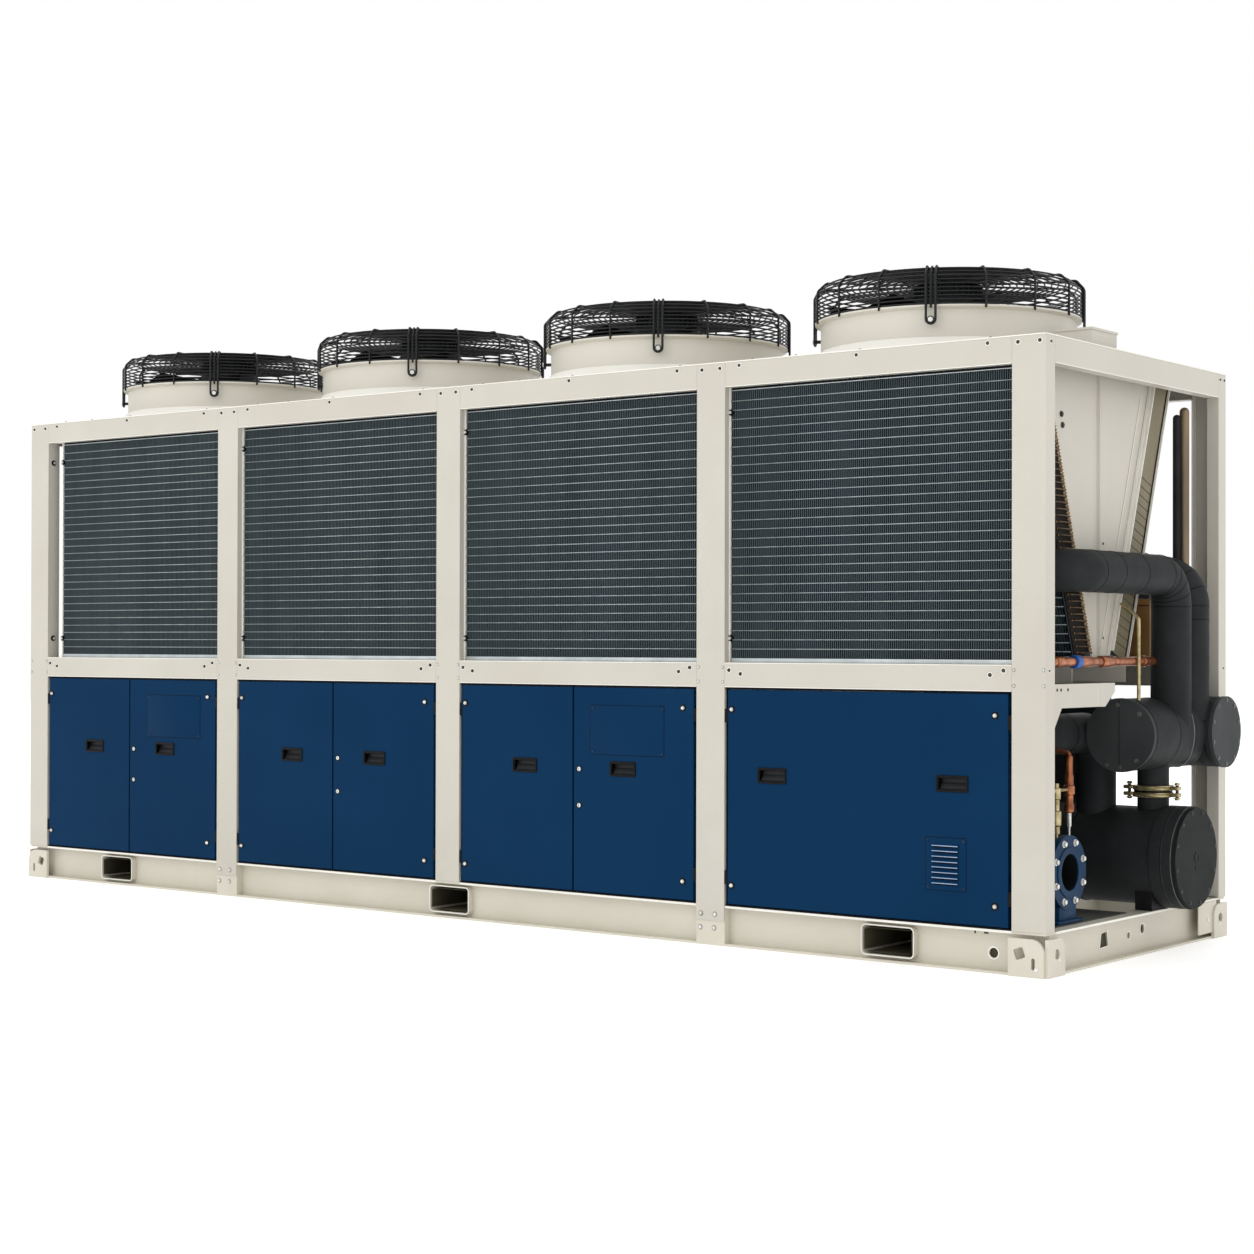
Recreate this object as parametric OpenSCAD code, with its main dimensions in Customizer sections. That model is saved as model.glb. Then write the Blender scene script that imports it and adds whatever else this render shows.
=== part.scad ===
// Air cooled water chiller: an open steel frame of four bays with a V of finned coils under four
// axial fans, hinged doors below them, and insulated water pipework at the right-hand end.
// Millimetres. +X is the piped end, -Y is the front with the doors, +Z is up, ground at Z = 0.

/* [Frame] */
// Distance between the centres of two posts
bay_pitch = 1282; // [1200:1:1500]
// Depth from the front face to the rear face
frame_d = 1440; // [1400:1:1600]
// Height of the frame's top edge above the ground
frame_h = 2100; // [2050:1:2250]
// Width of a post's face
post_w = 125; // [110:1:140]
// Depth of a post's folded sides
post_d = 64; // [56:1:70]
// Width of the lip that ends each folded side of a post
post_lip = 16; // [10:1:20]
// Sheet thickness of posts, rails and brackets
sheet = 4; // [3:0.5:5]
// Height of a rail
rail_h = 88; // [76:1:96]
// Depth of a rail's folded flanges
rail_d = 50; // [40:1:54]
// Height of the top edge of the middle rails
mid_top = 1020; // [990:1:1040]

/* [Base] */
// Height of the base beams
base_h = 145; // [140:1:150]
// Width of a base beam's flanges
beam_w = 76; // [70:1:90]
// Thickness of a base beam's flanges
beam_flange = 8; // [6:0.5:8]
// Thickness of a base beam's web
beam_web = 6; // [5:0.5:8]
// Clear width of a fork pocket
fork_w = 200; // [180:1:220]
// Clear height of a fork pocket
fork_h = 97; // [90:1:100]
// Wall thickness of a fork pocket's tube
fork_wall = 6; // [4:0.5:7]
// Distance of the outer fork pockets from the middle one
fork_pitch = 2020; // [1900:1:2100]
// Thickness of the lifting plates at the corners
lug_t = 12; // [10:1:14]
// Diameter of the round lifting hole in the end plates
lug_hole = 34; // [24:1:40]

/* [Coils] */
// Distance of the coil V's middle behind the front face
v_y = 630; // [620:1:660]
// Half width of the V over its outer faces at the top
v_top = 558; // [520:1:560]
// Half width of the V over its outer faces at the bottom
v_low = 195; // [180:1:210]
// Thickness of a coil, square to its face
coil_t = 112; // [90:1:120]
// Distance of the coil ends from the frame's end
coil_inset = 120; // [118:1:160]
// Height of the sheet tray under the coils
tray_h = 91; // [80:1:100]
// Width of the open strip beside the first front grille
grille_strip = 36; // [0:1:60]
// Number of horizontal rods on each front grille
grille_rods = 28; // [20:1:34]

/* [Fans] */
// Distance of the fans behind the front face
fan_y = 588; // [560:1:640]
// Outer radius of the fan cowl
cowl_r = 462; // [440:1:480]
// Height of the fan cowl
cowl_h = 155; // [140:1:180]
// Outer radius of the fan guard
guard_r = 484; // [482:1:500]
// Height of the fan guard
guard_h = 141; // [130:1:160]
// Thickness of a guard wire
wire = 6; // [5:0.5:8]
// Number of guard ribs, a multiple of four
guard_ribs = 16; // [12:4:20]
// Number of blades on a fan
fan_blades = 7; // [5:1:9]
// Angle between a blade and the plane of the fan
blade_pitch = 26; // [20:1:30]
// Radius of the fan shaft
shaft_r = 14; // [10:1:18]

/* [Doors] */
// Gap between a door and the post beside it
door_side_gap = 14; // [14:0.5:18]
// Gap between a door and the rails or base
door_gap = 9; // [7:0.5:12]
// Gap between two leaves
leaf_gap = 8; // [7:0.5:10]
// Open width beside the last rear panel
rear_gap = 340; // [300:1:400]
// Depth of a door's folded edges
door_t = 28; // [24:1:34]
// Sheet thickness of a door
door_sheet = 3; // [2:0.5:4]
// Radius of a hinge barrel
hinge_r = 6; // [5.5:0.1:6.2]
// Radius of a hinge pin
hinge_pin_r = 3; // [2.5:0.1:3.5]
// Height of one half of a hinge
hinge_half = 24; // [20:1:30]
// Width of a recessed door handle
handle_w = 122; // [100:1:140]
// Height of a recessed door handle
handle_h = 56; // [46:1:64]

/* [Water side] */
// Radius of the insulated evaporator
shell_r = 175; // [160:1:178]
// Height of the evaporator's axis
shell_z = 330; // [328:1:345]
// Reach of the evaporator's end cap beyond the frame
shell_reach = 100; // [90:1:120]
// Length of the evaporator
shell_len = 2520; // [2200:1:2600]
// Radius of the insulated header
header_r = 128; // [110:1:130]
// Height of the header's axis
header_z = 770; // [760:1:775]
// Radius of the insulated pipes
pipe_r = 72; // [60:1:74]
// Height of the upper pipe run
run_z = 1336; // [1300:1:1370]
// Radius of the pipe bends
bend_r = 112; // [105:1:118]
// Outer diameter of the pump flange
flange_d = 250; // [240:1:260]
// Diameter of the pump inlet's bore
inlet_d = 125; // [100:1:130]
// Diameter of the pump flange's bolt circle
flange_pcd = 210; // [200:1:212]
// Diameter of the pump flange's bolt holes
flange_hole = 18; // [14:1:20]

/* [Hidden] */
$fn = 64;

// Frame lines, with X from the middle of the frame and Y from its front face
bays = 4;
end_x = 2 * bay_pitch + post_w / 2;
bay_clear = bay_pitch - post_w;
top_rail_z = frame_h - rail_h;
mid_rail_z = mid_top - rail_h;
base_in = sheet;
lug_out = lug_t - base_in;
frame_shift = -(shell_reach - lug_out) / 2;
end_beam_len = frame_d - 2 * base_in - 2 * beam_w;
foot_z = 88;
eps = 0.01;

// Coil and fan levels
coil_z0 = mid_top + 26;
coil_z1 = frame_h - 28;
coil_across = coil_t / cos(atan((v_top - v_low) / (coil_z1 - coil_z0)));
tray_lip = 14;
bearer_top = coil_z0 - tray_h;
bearer_w = 52;
bearer_h = 80;
arm_reach = 515;
deck_t = 4;
deck_z = frame_h + deck_t;
cowl_sheet = 6;
cowl_top = deck_z + cowl_h;
cowl_flare = 38;
guard_top = cowl_top + guard_h;
hub_r = 130;
hub_h = 90;
hub_z = cowl_top - 9;
blade_tip = cowl_r - cowl_sheet - 36;
motor_r = 112;
shaft_gap = 0.3;
guard_turn = [-50, -56, -57, -67];

// Door lines
door_w = (bay_clear - 2 * door_side_gap - leaf_gap) / 2;
door_z0 = base_h + door_gap;
door_z1 = mid_rail_z - door_gap;
door_in = 2;
hinge_y = 5;
pin_gap = 0.05;
hinge_gap = 0.3;
hinge_z = [door_z0 + 70, door_z1 - 70 - 2 * hinge_half];
handle_z = 620;
handle_edge = 235;
handle_rim = 6;
handle_depth = 22;

// Water side lines at the right-hand end
pipe_x = end_x - 10;
stub_y = frame_d - post_d - 8 - header_r;
leg2_y = stub_y - 105;
leg1_y = leg2_y - 2 * pipe_r - 12;
rear_run_z = run_z + 6;
neck_y = stub_y - 290;
header_x = end_x - 65;
header_y0 = stub_y - 545;
stub_reach = 75;
cap_t = 14;
neck_r = 56;
down_x = end_x - 275;
down_y = 200;
return_y = neck_y - 30;
pump_y = 290;
pump_z = 320;
pump_top = 560;
pump_face_x = end_x - 63;
saddle_x = [end_x - base_in - beam_w / 2, end_x + shell_reach - shell_len + 150];
cross_x = [-bay_pitch, -fork_pitch / 2 + 300, saddle_x[1], bay_pitch];
stand_r = 30;
copper_r = 16;

// Placing helpers
module placed() { translate([frame_shift, -frame_d / 2, 0]) children(); }
module along_x(length) { rotate([90, 0, 90]) linear_extrude(length, center = true) children(); }
module along_y(length) { translate([0, length, 0]) rotate([90, 0, 0]) linear_extrude(length) children(); }
module both_sides() {
    children();
    translate([0, frame_d, 0]) mirror([0, 1, 0]) children();
}
module both_ends() {
    children();
    mirror([1, 0, 0]) children();
}
function post_x(i) = (i - 2) * bay_pitch;
function bay_x(i) = (i - 1.5) * bay_pitch;

// Cross section of a base beam: an I with its outer edges at x = 0
module beam_section() {
    square([beam_w, beam_flange]);
    translate([0, base_h - beam_flange]) square([beam_w, beam_flange]);
    translate([(beam_w - beam_web) / 2, 0]) square([beam_web, base_h]);
}

module fork_outline(grow) {
    w = fork_w + 2 * grow;
    h = fork_h + 2 * grow;
    r = 14 + grow;
    translate([0, base_h / 2]) {
        square([w - 2 * r, h], center = true);
        square([w, h - 2 * r], center = true);
        for (sx = [-1, 1], sy = [-1, 1])
            translate([sx * (w / 2 - r), sy * (h / 2 - r)]) circle(r);
    }
}

module fork_places() { for (i = [-1:1]) translate([i * fork_pitch, 0, 0]) children(); }

module base_side_beams() {
    color("ivory") placed() both_sides() difference() {
        translate([0, base_in, 0]) along_x(2 * (end_x - base_in)) beam_section();
        fork_places() translate([0, -1, 0]) along_y(beam_w + 2) fork_outline(fork_wall);
        translate([end_x - 211, -1, 63]) rotate([-90, 0, 0]) cylinder(h = beam_w + 2, r = 17);
    }
}

// The right-hand beam has a cable opening and two small holes beside it
module base_end_beams() {
    beam_y = base_in + beam_w;
    color("ivory") placed() {
        difference() {
            translate([end_x - base_in, beam_y, 0]) mirror([1, 0, 0]) along_y(end_beam_len) beam_section();
            translate([end_x - beam_w, 0, 0]) rotate([90, 0, 90]) linear_extrude(beam_w) {
                translate([500, 72])
                    polygon([[-34, -26], [34, -22], [24, 30], [-22, 26]]);
                translate([693, 70]) circle(12);
                translate([804, 83]) circle(17);
            }
        }
        translate([-(end_x - base_in), beam_y, 0]) along_y(end_beam_len) beam_section();
    }
}

module base_cross_beams() {
    inside_y = base_in + (beam_w + beam_web) / 2;
    color("ivory") placed() for (x = cross_x)
        translate([x - 35, 0, 0]) difference() {
            translate([0, inside_y, beam_flange]) along_y(frame_d - 2 * inside_y)
                square([70, base_h - 2 * beam_flange]);
            translate([6, inside_y - 1, beam_flange + 6]) along_y(frame_d - 2 * inside_y + 2)
                square([70, base_h - 2 * beam_flange - 12]);
        }
}

module base_floor() {
    floor_y0 = post_d + 6;
    floor_x = end_x - base_in - beam_w + 30;
    color("dimgray") placed()
        translate([-floor_x, floor_y0, base_h]) cube([2 * floor_x, 700 - floor_y0, 4]);
}

module fork_tubes() {
    rim_y = base_in + 10;
    color("ivory") placed() fork_places()
        translate([0, rim_y, 0]) along_y(frame_d - 2 * rim_y) difference() {
            fork_outline(fork_wall);
            fork_outline(0);
        }
}

// Front corner plate with a rounded top corner, a four-sided hook opening and a slot
module corner_plate() {
    plate_w = 130;
    plate_h = base_h - 20;
    round_r = 45;
    along = lug_t;
    translate([end_x - base_in - plate_w, -lug_out, 0]) along_y(along) difference() {
        union() {
            square([plate_w, plate_h - round_r]);
            square([plate_w - round_r, plate_h]);
            translate([plate_w - round_r, plate_h - round_r]) circle(round_r);
        }
        translate([42, 76]) intersection() {
            circle(23);
            rotate(20) square(36, center = true);
        }
        translate([92, 44]) {
            square([13, 26], center = true);
            translate([0, 13]) circle(6.5);
            translate([0, -13]) circle(6.5);
        }
    }
}

// End plate with the round lifting hole
module end_plate() {
    plate_w = 118;
    plate_h = base_h - 20;
    round_r = 40;
    translate([end_x - base_in, base_in, 0]) rotate([90, 0, 90]) linear_extrude(lug_t) difference() {
        union() {
            square([plate_w, plate_h - round_r]);
            square([plate_w - round_r, plate_h]);
            translate([plate_w - round_r, plate_h - round_r]) circle(round_r);
        }
        translate([62, 74]) circle(lug_hole / 2);
    }
}

module lifting_plates() {
    color("ivory") placed() both_ends() both_sides() {
        corner_plate();
        end_plate();
    }
}

// Brackets that stiffen the base under the second and fourth posts
module post_feet() {
    web_y = base_in + (beam_w - beam_web) / 2;
    color("ivory") placed() both_sides() for (i = [1, 3])
        translate([post_x(i) - post_w / 2, base_in, beam_flange]) difference() {
            cube([post_w, web_y - base_in, base_h - 2 * beam_flange]);
            translate([sheet, sheet, -1]) cube([post_w - 2 * sheet, beam_w, base_h]);
        }
}

// Folded post: face at y = 0, open towards the inside of the frame
module post_section() {
    square([post_w, sheet]);
    square([sheet, post_d]);
    translate([post_w - sheet, 0]) square([sheet, post_d]);
    translate([0, post_d - sheet]) square([post_lip, sheet]);
    translate([post_w - post_lip, post_d - sheet]) square([post_lip, sheet]);
}

module post_row() {
    for (i = [0:bays]) translate([post_x(i) - post_w / 2, 0, 0]) {
        translate([0, 0, base_h]) linear_extrude(frame_h - base_h) post_section();
        if (i == 1 || i == 3) translate([0, 0, foot_z]) cube([post_w, sheet, base_h - foot_z + eps]);
    }
}

module front_posts() { color("ivory") placed() post_row(); }
module rear_posts() { color("ivory") placed() translate([0, frame_d, 0]) mirror([0, 1, 0]) post_row(); }

module rail_section() {
    square([sheet, rail_h]);
    square([rail_d, sheet]);
    translate([0, rail_h - sheet]) square([rail_d, sheet]);
}

module rail_rows() {
    for (i = [0:bays - 1], z = [mid_rail_z, top_rail_z])
        translate([bay_x(i), 0, z]) along_x(bay_clear) rail_section();
}

module front_rails() { color("ivory") placed() rail_rows(); }
module rear_rails() { color("ivory") placed() translate([0, frame_d, 0]) mirror([0, 1, 0]) rail_rows(); }

module end_rail(z) {
    translate([end_x, post_d, z]) mirror([1, 0, 0]) along_y(frame_d - 2 * post_d) rail_section();
}

module end_rails() {
    color("ivory") placed() {
        both_ends() end_rail(top_rail_z);
        mirror([1, 0, 0]) end_rail(mid_rail_z);
    }
}

// The first bar stands clear of the end rail beside it
function bearer_x(i) = i == 0 ? -end_x + rail_d + 3 : post_x(i) - bearer_w / 2;

// Bars that carry the coil tray; the right-hand one is a short arm with a gusset and a round end
module coil_bearers() {
    color("ivory") placed() {
        for (i = [0:bays - 1])
            translate([bearer_x(i), sheet, bearer_top - bearer_h])
                along_y(frame_d - 2 * sheet) difference() {
                    square([bearer_w, bearer_h]);
                    translate([sheet, sheet]) square([bearer_w, bearer_h - 2 * sheet]);
                }
        translate([post_x(bays) - bearer_w / 2, 0, bearer_top - bearer_h]) {
            rotate([90, 0, 90]) linear_extrude(bearer_w) {
                translate([sheet, 0]) square([arm_reach - bearer_h / 2 - sheet, bearer_h]);
                translate([arm_reach - bearer_h / 2, bearer_h / 2]) circle(bearer_h / 2);
                polygon([[post_d + 2, 0], [post_d + 120, 0], [post_d + 2, -150]]);
            }
        }
    }
}

// Sheets that roof the closed bays on both sides of the tray
module compartment_roof() {
    half = v_low + tray_lip + 2;
    rear_y = frame_d - post_d - 2;
    color("ivory") placed() for (i = [0:bays - 2]) {
        x0 = bearer_x(i) + 8;
        width = bearer_x(i + 1) + 4 - x0;
        translate([x0, post_d + 2, bearer_top]) cube([width, v_y - half - post_d - 2, sheet]);
        translate([x0, v_y + half, bearer_top]) cube([width, rear_y - v_y - half, sheet]);
    }
}

module coil_tray() {
    half = v_low + tray_lip;
    color("ivory") placed() translate([0, v_y, bearer_top]) along_x(2 * (end_x - coil_inset)) difference() {
        translate([-half, 0]) square([2 * half, tray_h]);
        translate([-half + sheet, -1]) square([2 * half - 2 * sheet, tray_h - sheet + 1]);
    }
}

// One arm of the V: a slanted block of fins between two end plates
module coil_row() {
    plate_t = 4;
    for (i = [0:bays - 1]) {
        x0 = i == 0 ? -end_x + coil_inset : post_x(i) + 2;
        x1 = i == bays - 1 ? end_x - coil_inset : post_x(i + 1) - 2;
        translate([(x0 + x1) / 2, v_y, 0]) {
            along_x(x1 - x0) coil_section(0);
            for (s = [-1, 1]) translate([s * (x1 - x0 - plate_t) / 2, 0, 0]) along_x(plate_t) coil_section(8);
        }
    }
}

module coil_section(grow) {
    polygon([
        [-v_low - grow, coil_z0], [-v_top - grow, coil_z1],
        [-v_top + coil_across + grow, coil_z1], [-v_low + coil_across + grow, coil_z0]
    ]);
}

module front_coils() { color("darkslategray") placed() coil_row(); }
module rear_coils() {
    color("darkslategray") placed() translate([0, 2 * v_y, 0]) mirror([0, 1, 0]) coil_row();
}

// Sheet that closes each end of the V, with a folded stiffener down its middle
module coil_end_panels() {
    low = v_low - coil_across - 9;
    top = v_top - coil_across - 9;
    color("ivory") placed() both_ends() translate([end_x - coil_inset - 8, v_y, 0]) {
        along_x(sheet) polygon([[-low, coil_z0], [-top, coil_z1], [top, coil_z1], [low, coil_z0]]);
        translate([0, 0, coil_z0]) linear_extrude(coil_z1 - coil_z0)
            polygon([[0, -9], [12, -3], [12, 3], [0, 9]]);
    }
}

// Flat grille in each front opening: a sheet of fins with rods across its face
module front_grilles() {
    grille_y = 32;
    grille_d = 8;
    rod = 4;
    z0 = mid_top;
    height = top_rail_z - mid_top;
    step = height / (grille_rods + 1);
    color("darkslategray") placed() for (i = [0:bays - 1]) {
        strip = i == 0 ? grille_strip : 0;
        translate([bay_x(i) + strip / 2, grille_y, z0]) along_x(bay_clear - strip) {
            square([grille_d, height]);
            for (k = [1:grille_rods]) translate([-rod, k * step - rod / 2]) square([rod + 1, rod]);
        }
    }
}

module fan_places() { for (i = [0:bays - 1]) translate([bay_x(i), fan_y, 0]) children(); }

module fan_deck() {
    color("ivory") placed() difference() {
        for (i = [0:bays - 1]) {
            x0 = i == 0 ? -end_x : post_x(i) + 2;
            x1 = i == bays - 1 ? end_x : post_x(i + 1) - 2;
            translate([x0, 0, frame_h]) cube([x1 - x0, frame_d, deck_t]);
        }
        fan_places() translate([0, 0, frame_h - 1]) cylinder(h = deck_t + 2, r = cowl_r - cowl_sheet);
    }
}

// Cowl: a flared foot on the deck, a straight wall and a turned-out lip that the guard sits on
module fan_cowls() {
    inner = cowl_r - cowl_sheet;
    lip_r = guard_r - 1.5;
    color("ivory") placed() fan_places() translate([0, 0, deck_z]) rotate_extrude() polygon([
        [inner, 0], [cowl_r + cowl_flare, 0], [cowl_r + cowl_flare, 4], [cowl_r, 34],
        [cowl_r, cowl_h - 14], [lip_r, cowl_h - 6], [lip_r, cowl_h],
        [inner + 3, cowl_h], [inner, cowl_h - 3]
    ]);
}

module guard_ring(r, z) {
    translate([0, 0, z]) rotate_extrude() translate([r, 0]) square([wire, wire]);
}

// Basket guard: rings and bent ribs fused where they cross, a disc that carries the motor, and
// four straps that reach down over the lip to the cowl
module fan_guard(turn) {
    side_rings = 5;
    top_rings = 5;
    disc_r = 130;
    bite = 2;
    ring_r = guard_r - wire;
    rib_r = ring_r - wire + bite;
    rib_top = guard_top - 2 * wire + bite;
    strap_w = 34;
    strap_low = cowl_top - 60;
    for (k = [0:side_rings - 1])
        guard_ring(ring_r, cowl_top + k * (guard_h - 2 * wire) / (side_rings - 1));
    for (k = [1:top_rings])
        guard_ring(disc_r + k * (ring_r - disc_r) / (top_rings + 1), guard_top - wire);
    translate([0, 0, rib_top]) cylinder(h = wire, r = disc_r);
    for (k = [0:guard_ribs - 1]) rotate(turn + k * 360 / guard_ribs) {
        translate([rib_r, -wire / 2, cowl_top]) cube([wire, wire, rib_top + wire - cowl_top]);
        translate([disc_r - 20, -wire / 2, rib_top]) cube([rib_r - disc_r + 20 + bite, wire, wire]);
    }
    for (k = [0:3]) rotate(turn + k * 90) {
        translate([guard_r - 1, -strap_w / 2, strap_low]) cube([5, strap_w, rib_top - strap_low]);
        translate([cowl_r + 0.3, -strap_w / 2, strap_low]) cube([guard_r - cowl_r, strap_w, 5]);
    }
}

module fan_guard_pair(first) {
    color("black") placed() for (i = [first, first + 1])
        translate([bay_x(i), fan_y, 0]) fan_guard(guard_turn[i]);
}

module fan_guards_left() { fan_guard_pair(0); }
module fan_guards_right() { fan_guard_pair(2); }

// Motor hung under the guard's disc, with the shaft that carries the fan
module fan_motors() {
    disc_under = guard_top - 2 * wire + 2;
    motor_z = hub_z + hub_h + 6;
    color("dimgray") placed() fan_places() {
        translate([0, 0, motor_z]) cylinder(h = disc_under - motor_z, r = motor_r);
        translate([0, 0, hub_z + 4]) cylinder(h = motor_z - hub_z - 4, r = shaft_r);
        translate([0, 0, hub_z + hub_h + shaft_gap]) cylinder(h = 6, r = shaft_r + 8);
        translate([0, 0, hub_z - 12 - shaft_gap]) cylinder(h = 12, r = shaft_r + 8);
        translate([0, 0, hub_z - 6]) cylinder(h = 12, r = shaft_r);
    }
}

// Sickle blade outline: radius along x, chord along y
function blade_edge(t, side) = let (chord = 150 + 120 * t, sweep = 60 * t * t)
    [100 + (blade_tip - 100) * t, side * chord / 2 + sweep * 0.6 - 25 * t];
blade_steps = 6;
blade_points = concat(
    [for (k = [0:blade_steps]) blade_edge(k / blade_steps, -1)],
    [for (k = [blade_steps:-1:0]) blade_edge(k / blade_steps, 1)]
);

module fan_rotor(i) {
    color("black") placed() translate([bay_x(i), fan_y, hub_z]) difference() {
        union() {
            cylinder(h = hub_h, r = hub_r);
            for (k = [0:fan_blades - 1]) rotate(k * 360 / fan_blades)
                translate([0, 0, hub_h / 2]) rotate([blade_pitch, 0, 0])
                    linear_extrude(4, center = true) polygon(blade_points);
        }
        translate([0, 0, -1]) cylinder(h = hub_h + 2, r = shaft_r + shaft_gap);
    }
}

module fan_rotor_1() { fan_rotor(0); }
module fan_rotor_2() { fan_rotor(1); }
module fan_rotor_3() { fan_rotor(2); }
module fan_rotor_4() { fan_rotor(3); }

module deck_box() {
    box_w = 135;
    box_d = 193;
    box_h = 66;
    lid_out = 4;
    cowl_gap = 8.5;
    color("ivory") placed() translate([bay_x(bays - 1) + cowl_r + cowl_flare + cowl_gap, v_y - 181, deck_z]) {
        cube([box_w, box_d, box_h]);
        translate([-lid_out, -lid_out, box_h]) cube([box_w + 2 * lid_out, box_d + 2 * lid_out, 2 * lid_out]);
    }
}

// The hinge line of a leaf: side is -1 for a left leaf and 1 for a right leaf
function hinge_x(bay, side) = bay_x(bay) + side * (bay_clear - door_side_gap) / 2;

// Fixed hinge halves with their pins, on the inner edges of the posts
module hinge_brackets() {
    color("black") placed() for (bay = [0:bays - 2], side = [-1, 1], z = hinge_z)
        translate([hinge_x(bay, side), hinge_y, z]) {
            cylinder(h = hinge_half, r = hinge_r);
            cylinder(h = 2 * hinge_half - 2, r = hinge_pin_r);
            translate([side > 0 ? 0 : -door_side_gap / 2, -hinge_r / 2, 0])
                cube([door_side_gap / 2, hinge_r, hinge_half]);
        }
}

// Folded door tray with a cut-out for its handle
module door_tray(width, handles) {
    height = door_z1 - door_z0;
    difference() {
        translate([0, door_in, door_z0]) cube([width, door_t, height]);
        translate([door_sheet, door_in + door_sheet, door_z0 + door_sheet])
            cube([width - 2 * door_sheet, door_t, height - 2 * door_sheet]);
        for (x = handles) translate([x - handle_w / 2 + handle_rim, -1, handle_z - handle_h / 2 + handle_rim])
            cube([handle_w - 2 * handle_rim, door_t + 2, handle_h - 2 * handle_rim]);
    }
}

// Recessed cup handle: a rim on the door's face and a cup behind it
module cup_handle() {
    rim_out = 2;
    difference() {
        union() {
            translate([-handle_w / 2, door_in - rim_out, -handle_h / 2]) cube([handle_w, rim_out, handle_h]);
            translate([-handle_w / 2 + handle_rim, door_in - 1, -handle_h / 2 + handle_rim])
                cube([handle_w - 2 * handle_rim, handle_depth + 3, handle_h - 2 * handle_rim]);
        }
        translate([-handle_w / 2 + handle_rim + 3, door_in - rim_out - 1, -handle_h / 2 + handle_rim + 3])
            cube([handle_w - 2 * handle_rim - 6, handle_depth, handle_h - 2 * handle_rim - 6]);
    }
}

function leaf_x(bay, side) = side < 0
    ? bay_x(bay) - bay_clear / 2 + door_side_gap
    : bay_x(bay) + leaf_gap / 2;
function leaf_handle_x(side) = side < 0 ? door_w - handle_edge : handle_edge;

module door_leaf(bay, side) {
    color("midnightblue") placed() translate([leaf_x(bay, side), 0, 0])
        door_tray(door_w, [leaf_handle_x(side)]);
}

// The handle and the moving hinge halves of one leaf
module leaf_fittings(bay, side) {
    color("black") placed() {
        translate([leaf_x(bay, side) + leaf_handle_x(side), 0, handle_z]) cup_handle();
        for (z = hinge_z) translate([hinge_x(bay, side), hinge_y, z + hinge_half + hinge_gap]) difference() {
            union() {
                cylinder(h = hinge_half, r = hinge_r);
                translate([side > 0 ? -door_side_gap / 2 : 0, -hinge_r / 2, 0])
                    cube([door_side_gap / 2, hinge_r, hinge_half]);
            }
            translate([0, 0, -1]) cylinder(h = hinge_half + 2, r = hinge_pin_r + pin_gap);
        }
    }
}

module door_1_left() { door_leaf(0, -1); }
module door_1_right() { door_leaf(0, 1); }
module door_2_left() { door_leaf(1, -1); }
module door_2_right() { door_leaf(1, 1); }
module door_3_left() { door_leaf(2, -1); }
module door_3_right() { door_leaf(2, 1); }
module door_1_left_fittings() { leaf_fittings(0, -1); }
module door_1_right_fittings() { leaf_fittings(0, 1); }
module door_2_left_fittings() { leaf_fittings(1, -1); }
module door_2_right_fittings() { leaf_fittings(1, 1); }
module door_3_left_fittings() { leaf_fittings(2, -1); }
module door_3_right_fittings() { leaf_fittings(2, 1); }

// Lift-off panel in the fourth bay, held by four catches
service_w = bay_clear - 2 * door_side_gap;
service_x = bay_x(bays - 1) - service_w / 2;
service_handles = [service_w * 0.17, service_w * 0.815];

module service_panel() {
    color("midnightblue") placed() translate([service_x, 0, 0]) door_tray(service_w, service_handles);
}

module service_panel_fittings() {
    color("black") placed() {
        for (x = service_handles) translate([service_x + x, 0, handle_z]) cup_handle();
        for (s = [-1, 1], z = hinge_z)
            translate([bay_x(bays - 1) + s * (bay_clear - door_side_gap) / 2 - door_side_gap / 2, 1, z])
                cube([door_side_gap, 10, 2 * hinge_half]);
    }
}

module rear_panels() {
    color("midnightblue") placed() for (i = [0:bays - 1])
        translate([bay_x(i) - bay_clear / 2, frame_d - door_in - 20, base_h])
            cube([bay_clear - (i == bays - 1 ? rear_gap : 0), 20, mid_rail_z - base_h]);
}

module left_end_panel() {
    color("midnightblue") placed()
        translate([-end_x + door_in, post_d, base_h]) cube([20, frame_d - 2 * post_d, mid_rail_z - base_h]);
}

// Insulated evaporator with a wide band at its piped end
module evaporator() {
    band = 85;
    right = end_x + shell_reach - cap_t;
    color("black") placed() translate([right, neck_y, shell_z]) rotate([0, -90, 0]) {
        cylinder(h = shell_len - 2 * cap_t, r = shell_r);
        cylinder(h = band, r = shell_r + 8);
    }
}

module evaporator_caps() {
    right = end_x + shell_reach - cap_t;
    color("black") placed() {
        translate([right, neck_y, shell_z]) rotate([0, 90, 0]) cylinder(h = cap_t, r = shell_r + 2);
        translate([right - shell_len + 2 * cap_t, neck_y, shell_z]) rotate([0, -90, 0])
            cylinder(h = cap_t, r = shell_r + 2);
    }
}

// Saddles that stand the evaporator on the base beams
module evaporator_saddles() {
    saddle_w = 64;
    saddle_h = 95;
    color("black") placed() for (i = [0, 1]) difference() {
        translate([saddle_x[i] - saddle_w / 2, neck_y - 130, base_h]) cube([saddle_w, 260, saddle_h]);
        translate([saddle_x[i], neck_y, shell_z]) rotate([0, 90, 0])
            cylinder(h = saddle_w + 2, r = shell_r, center = true);
    }
}

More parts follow.
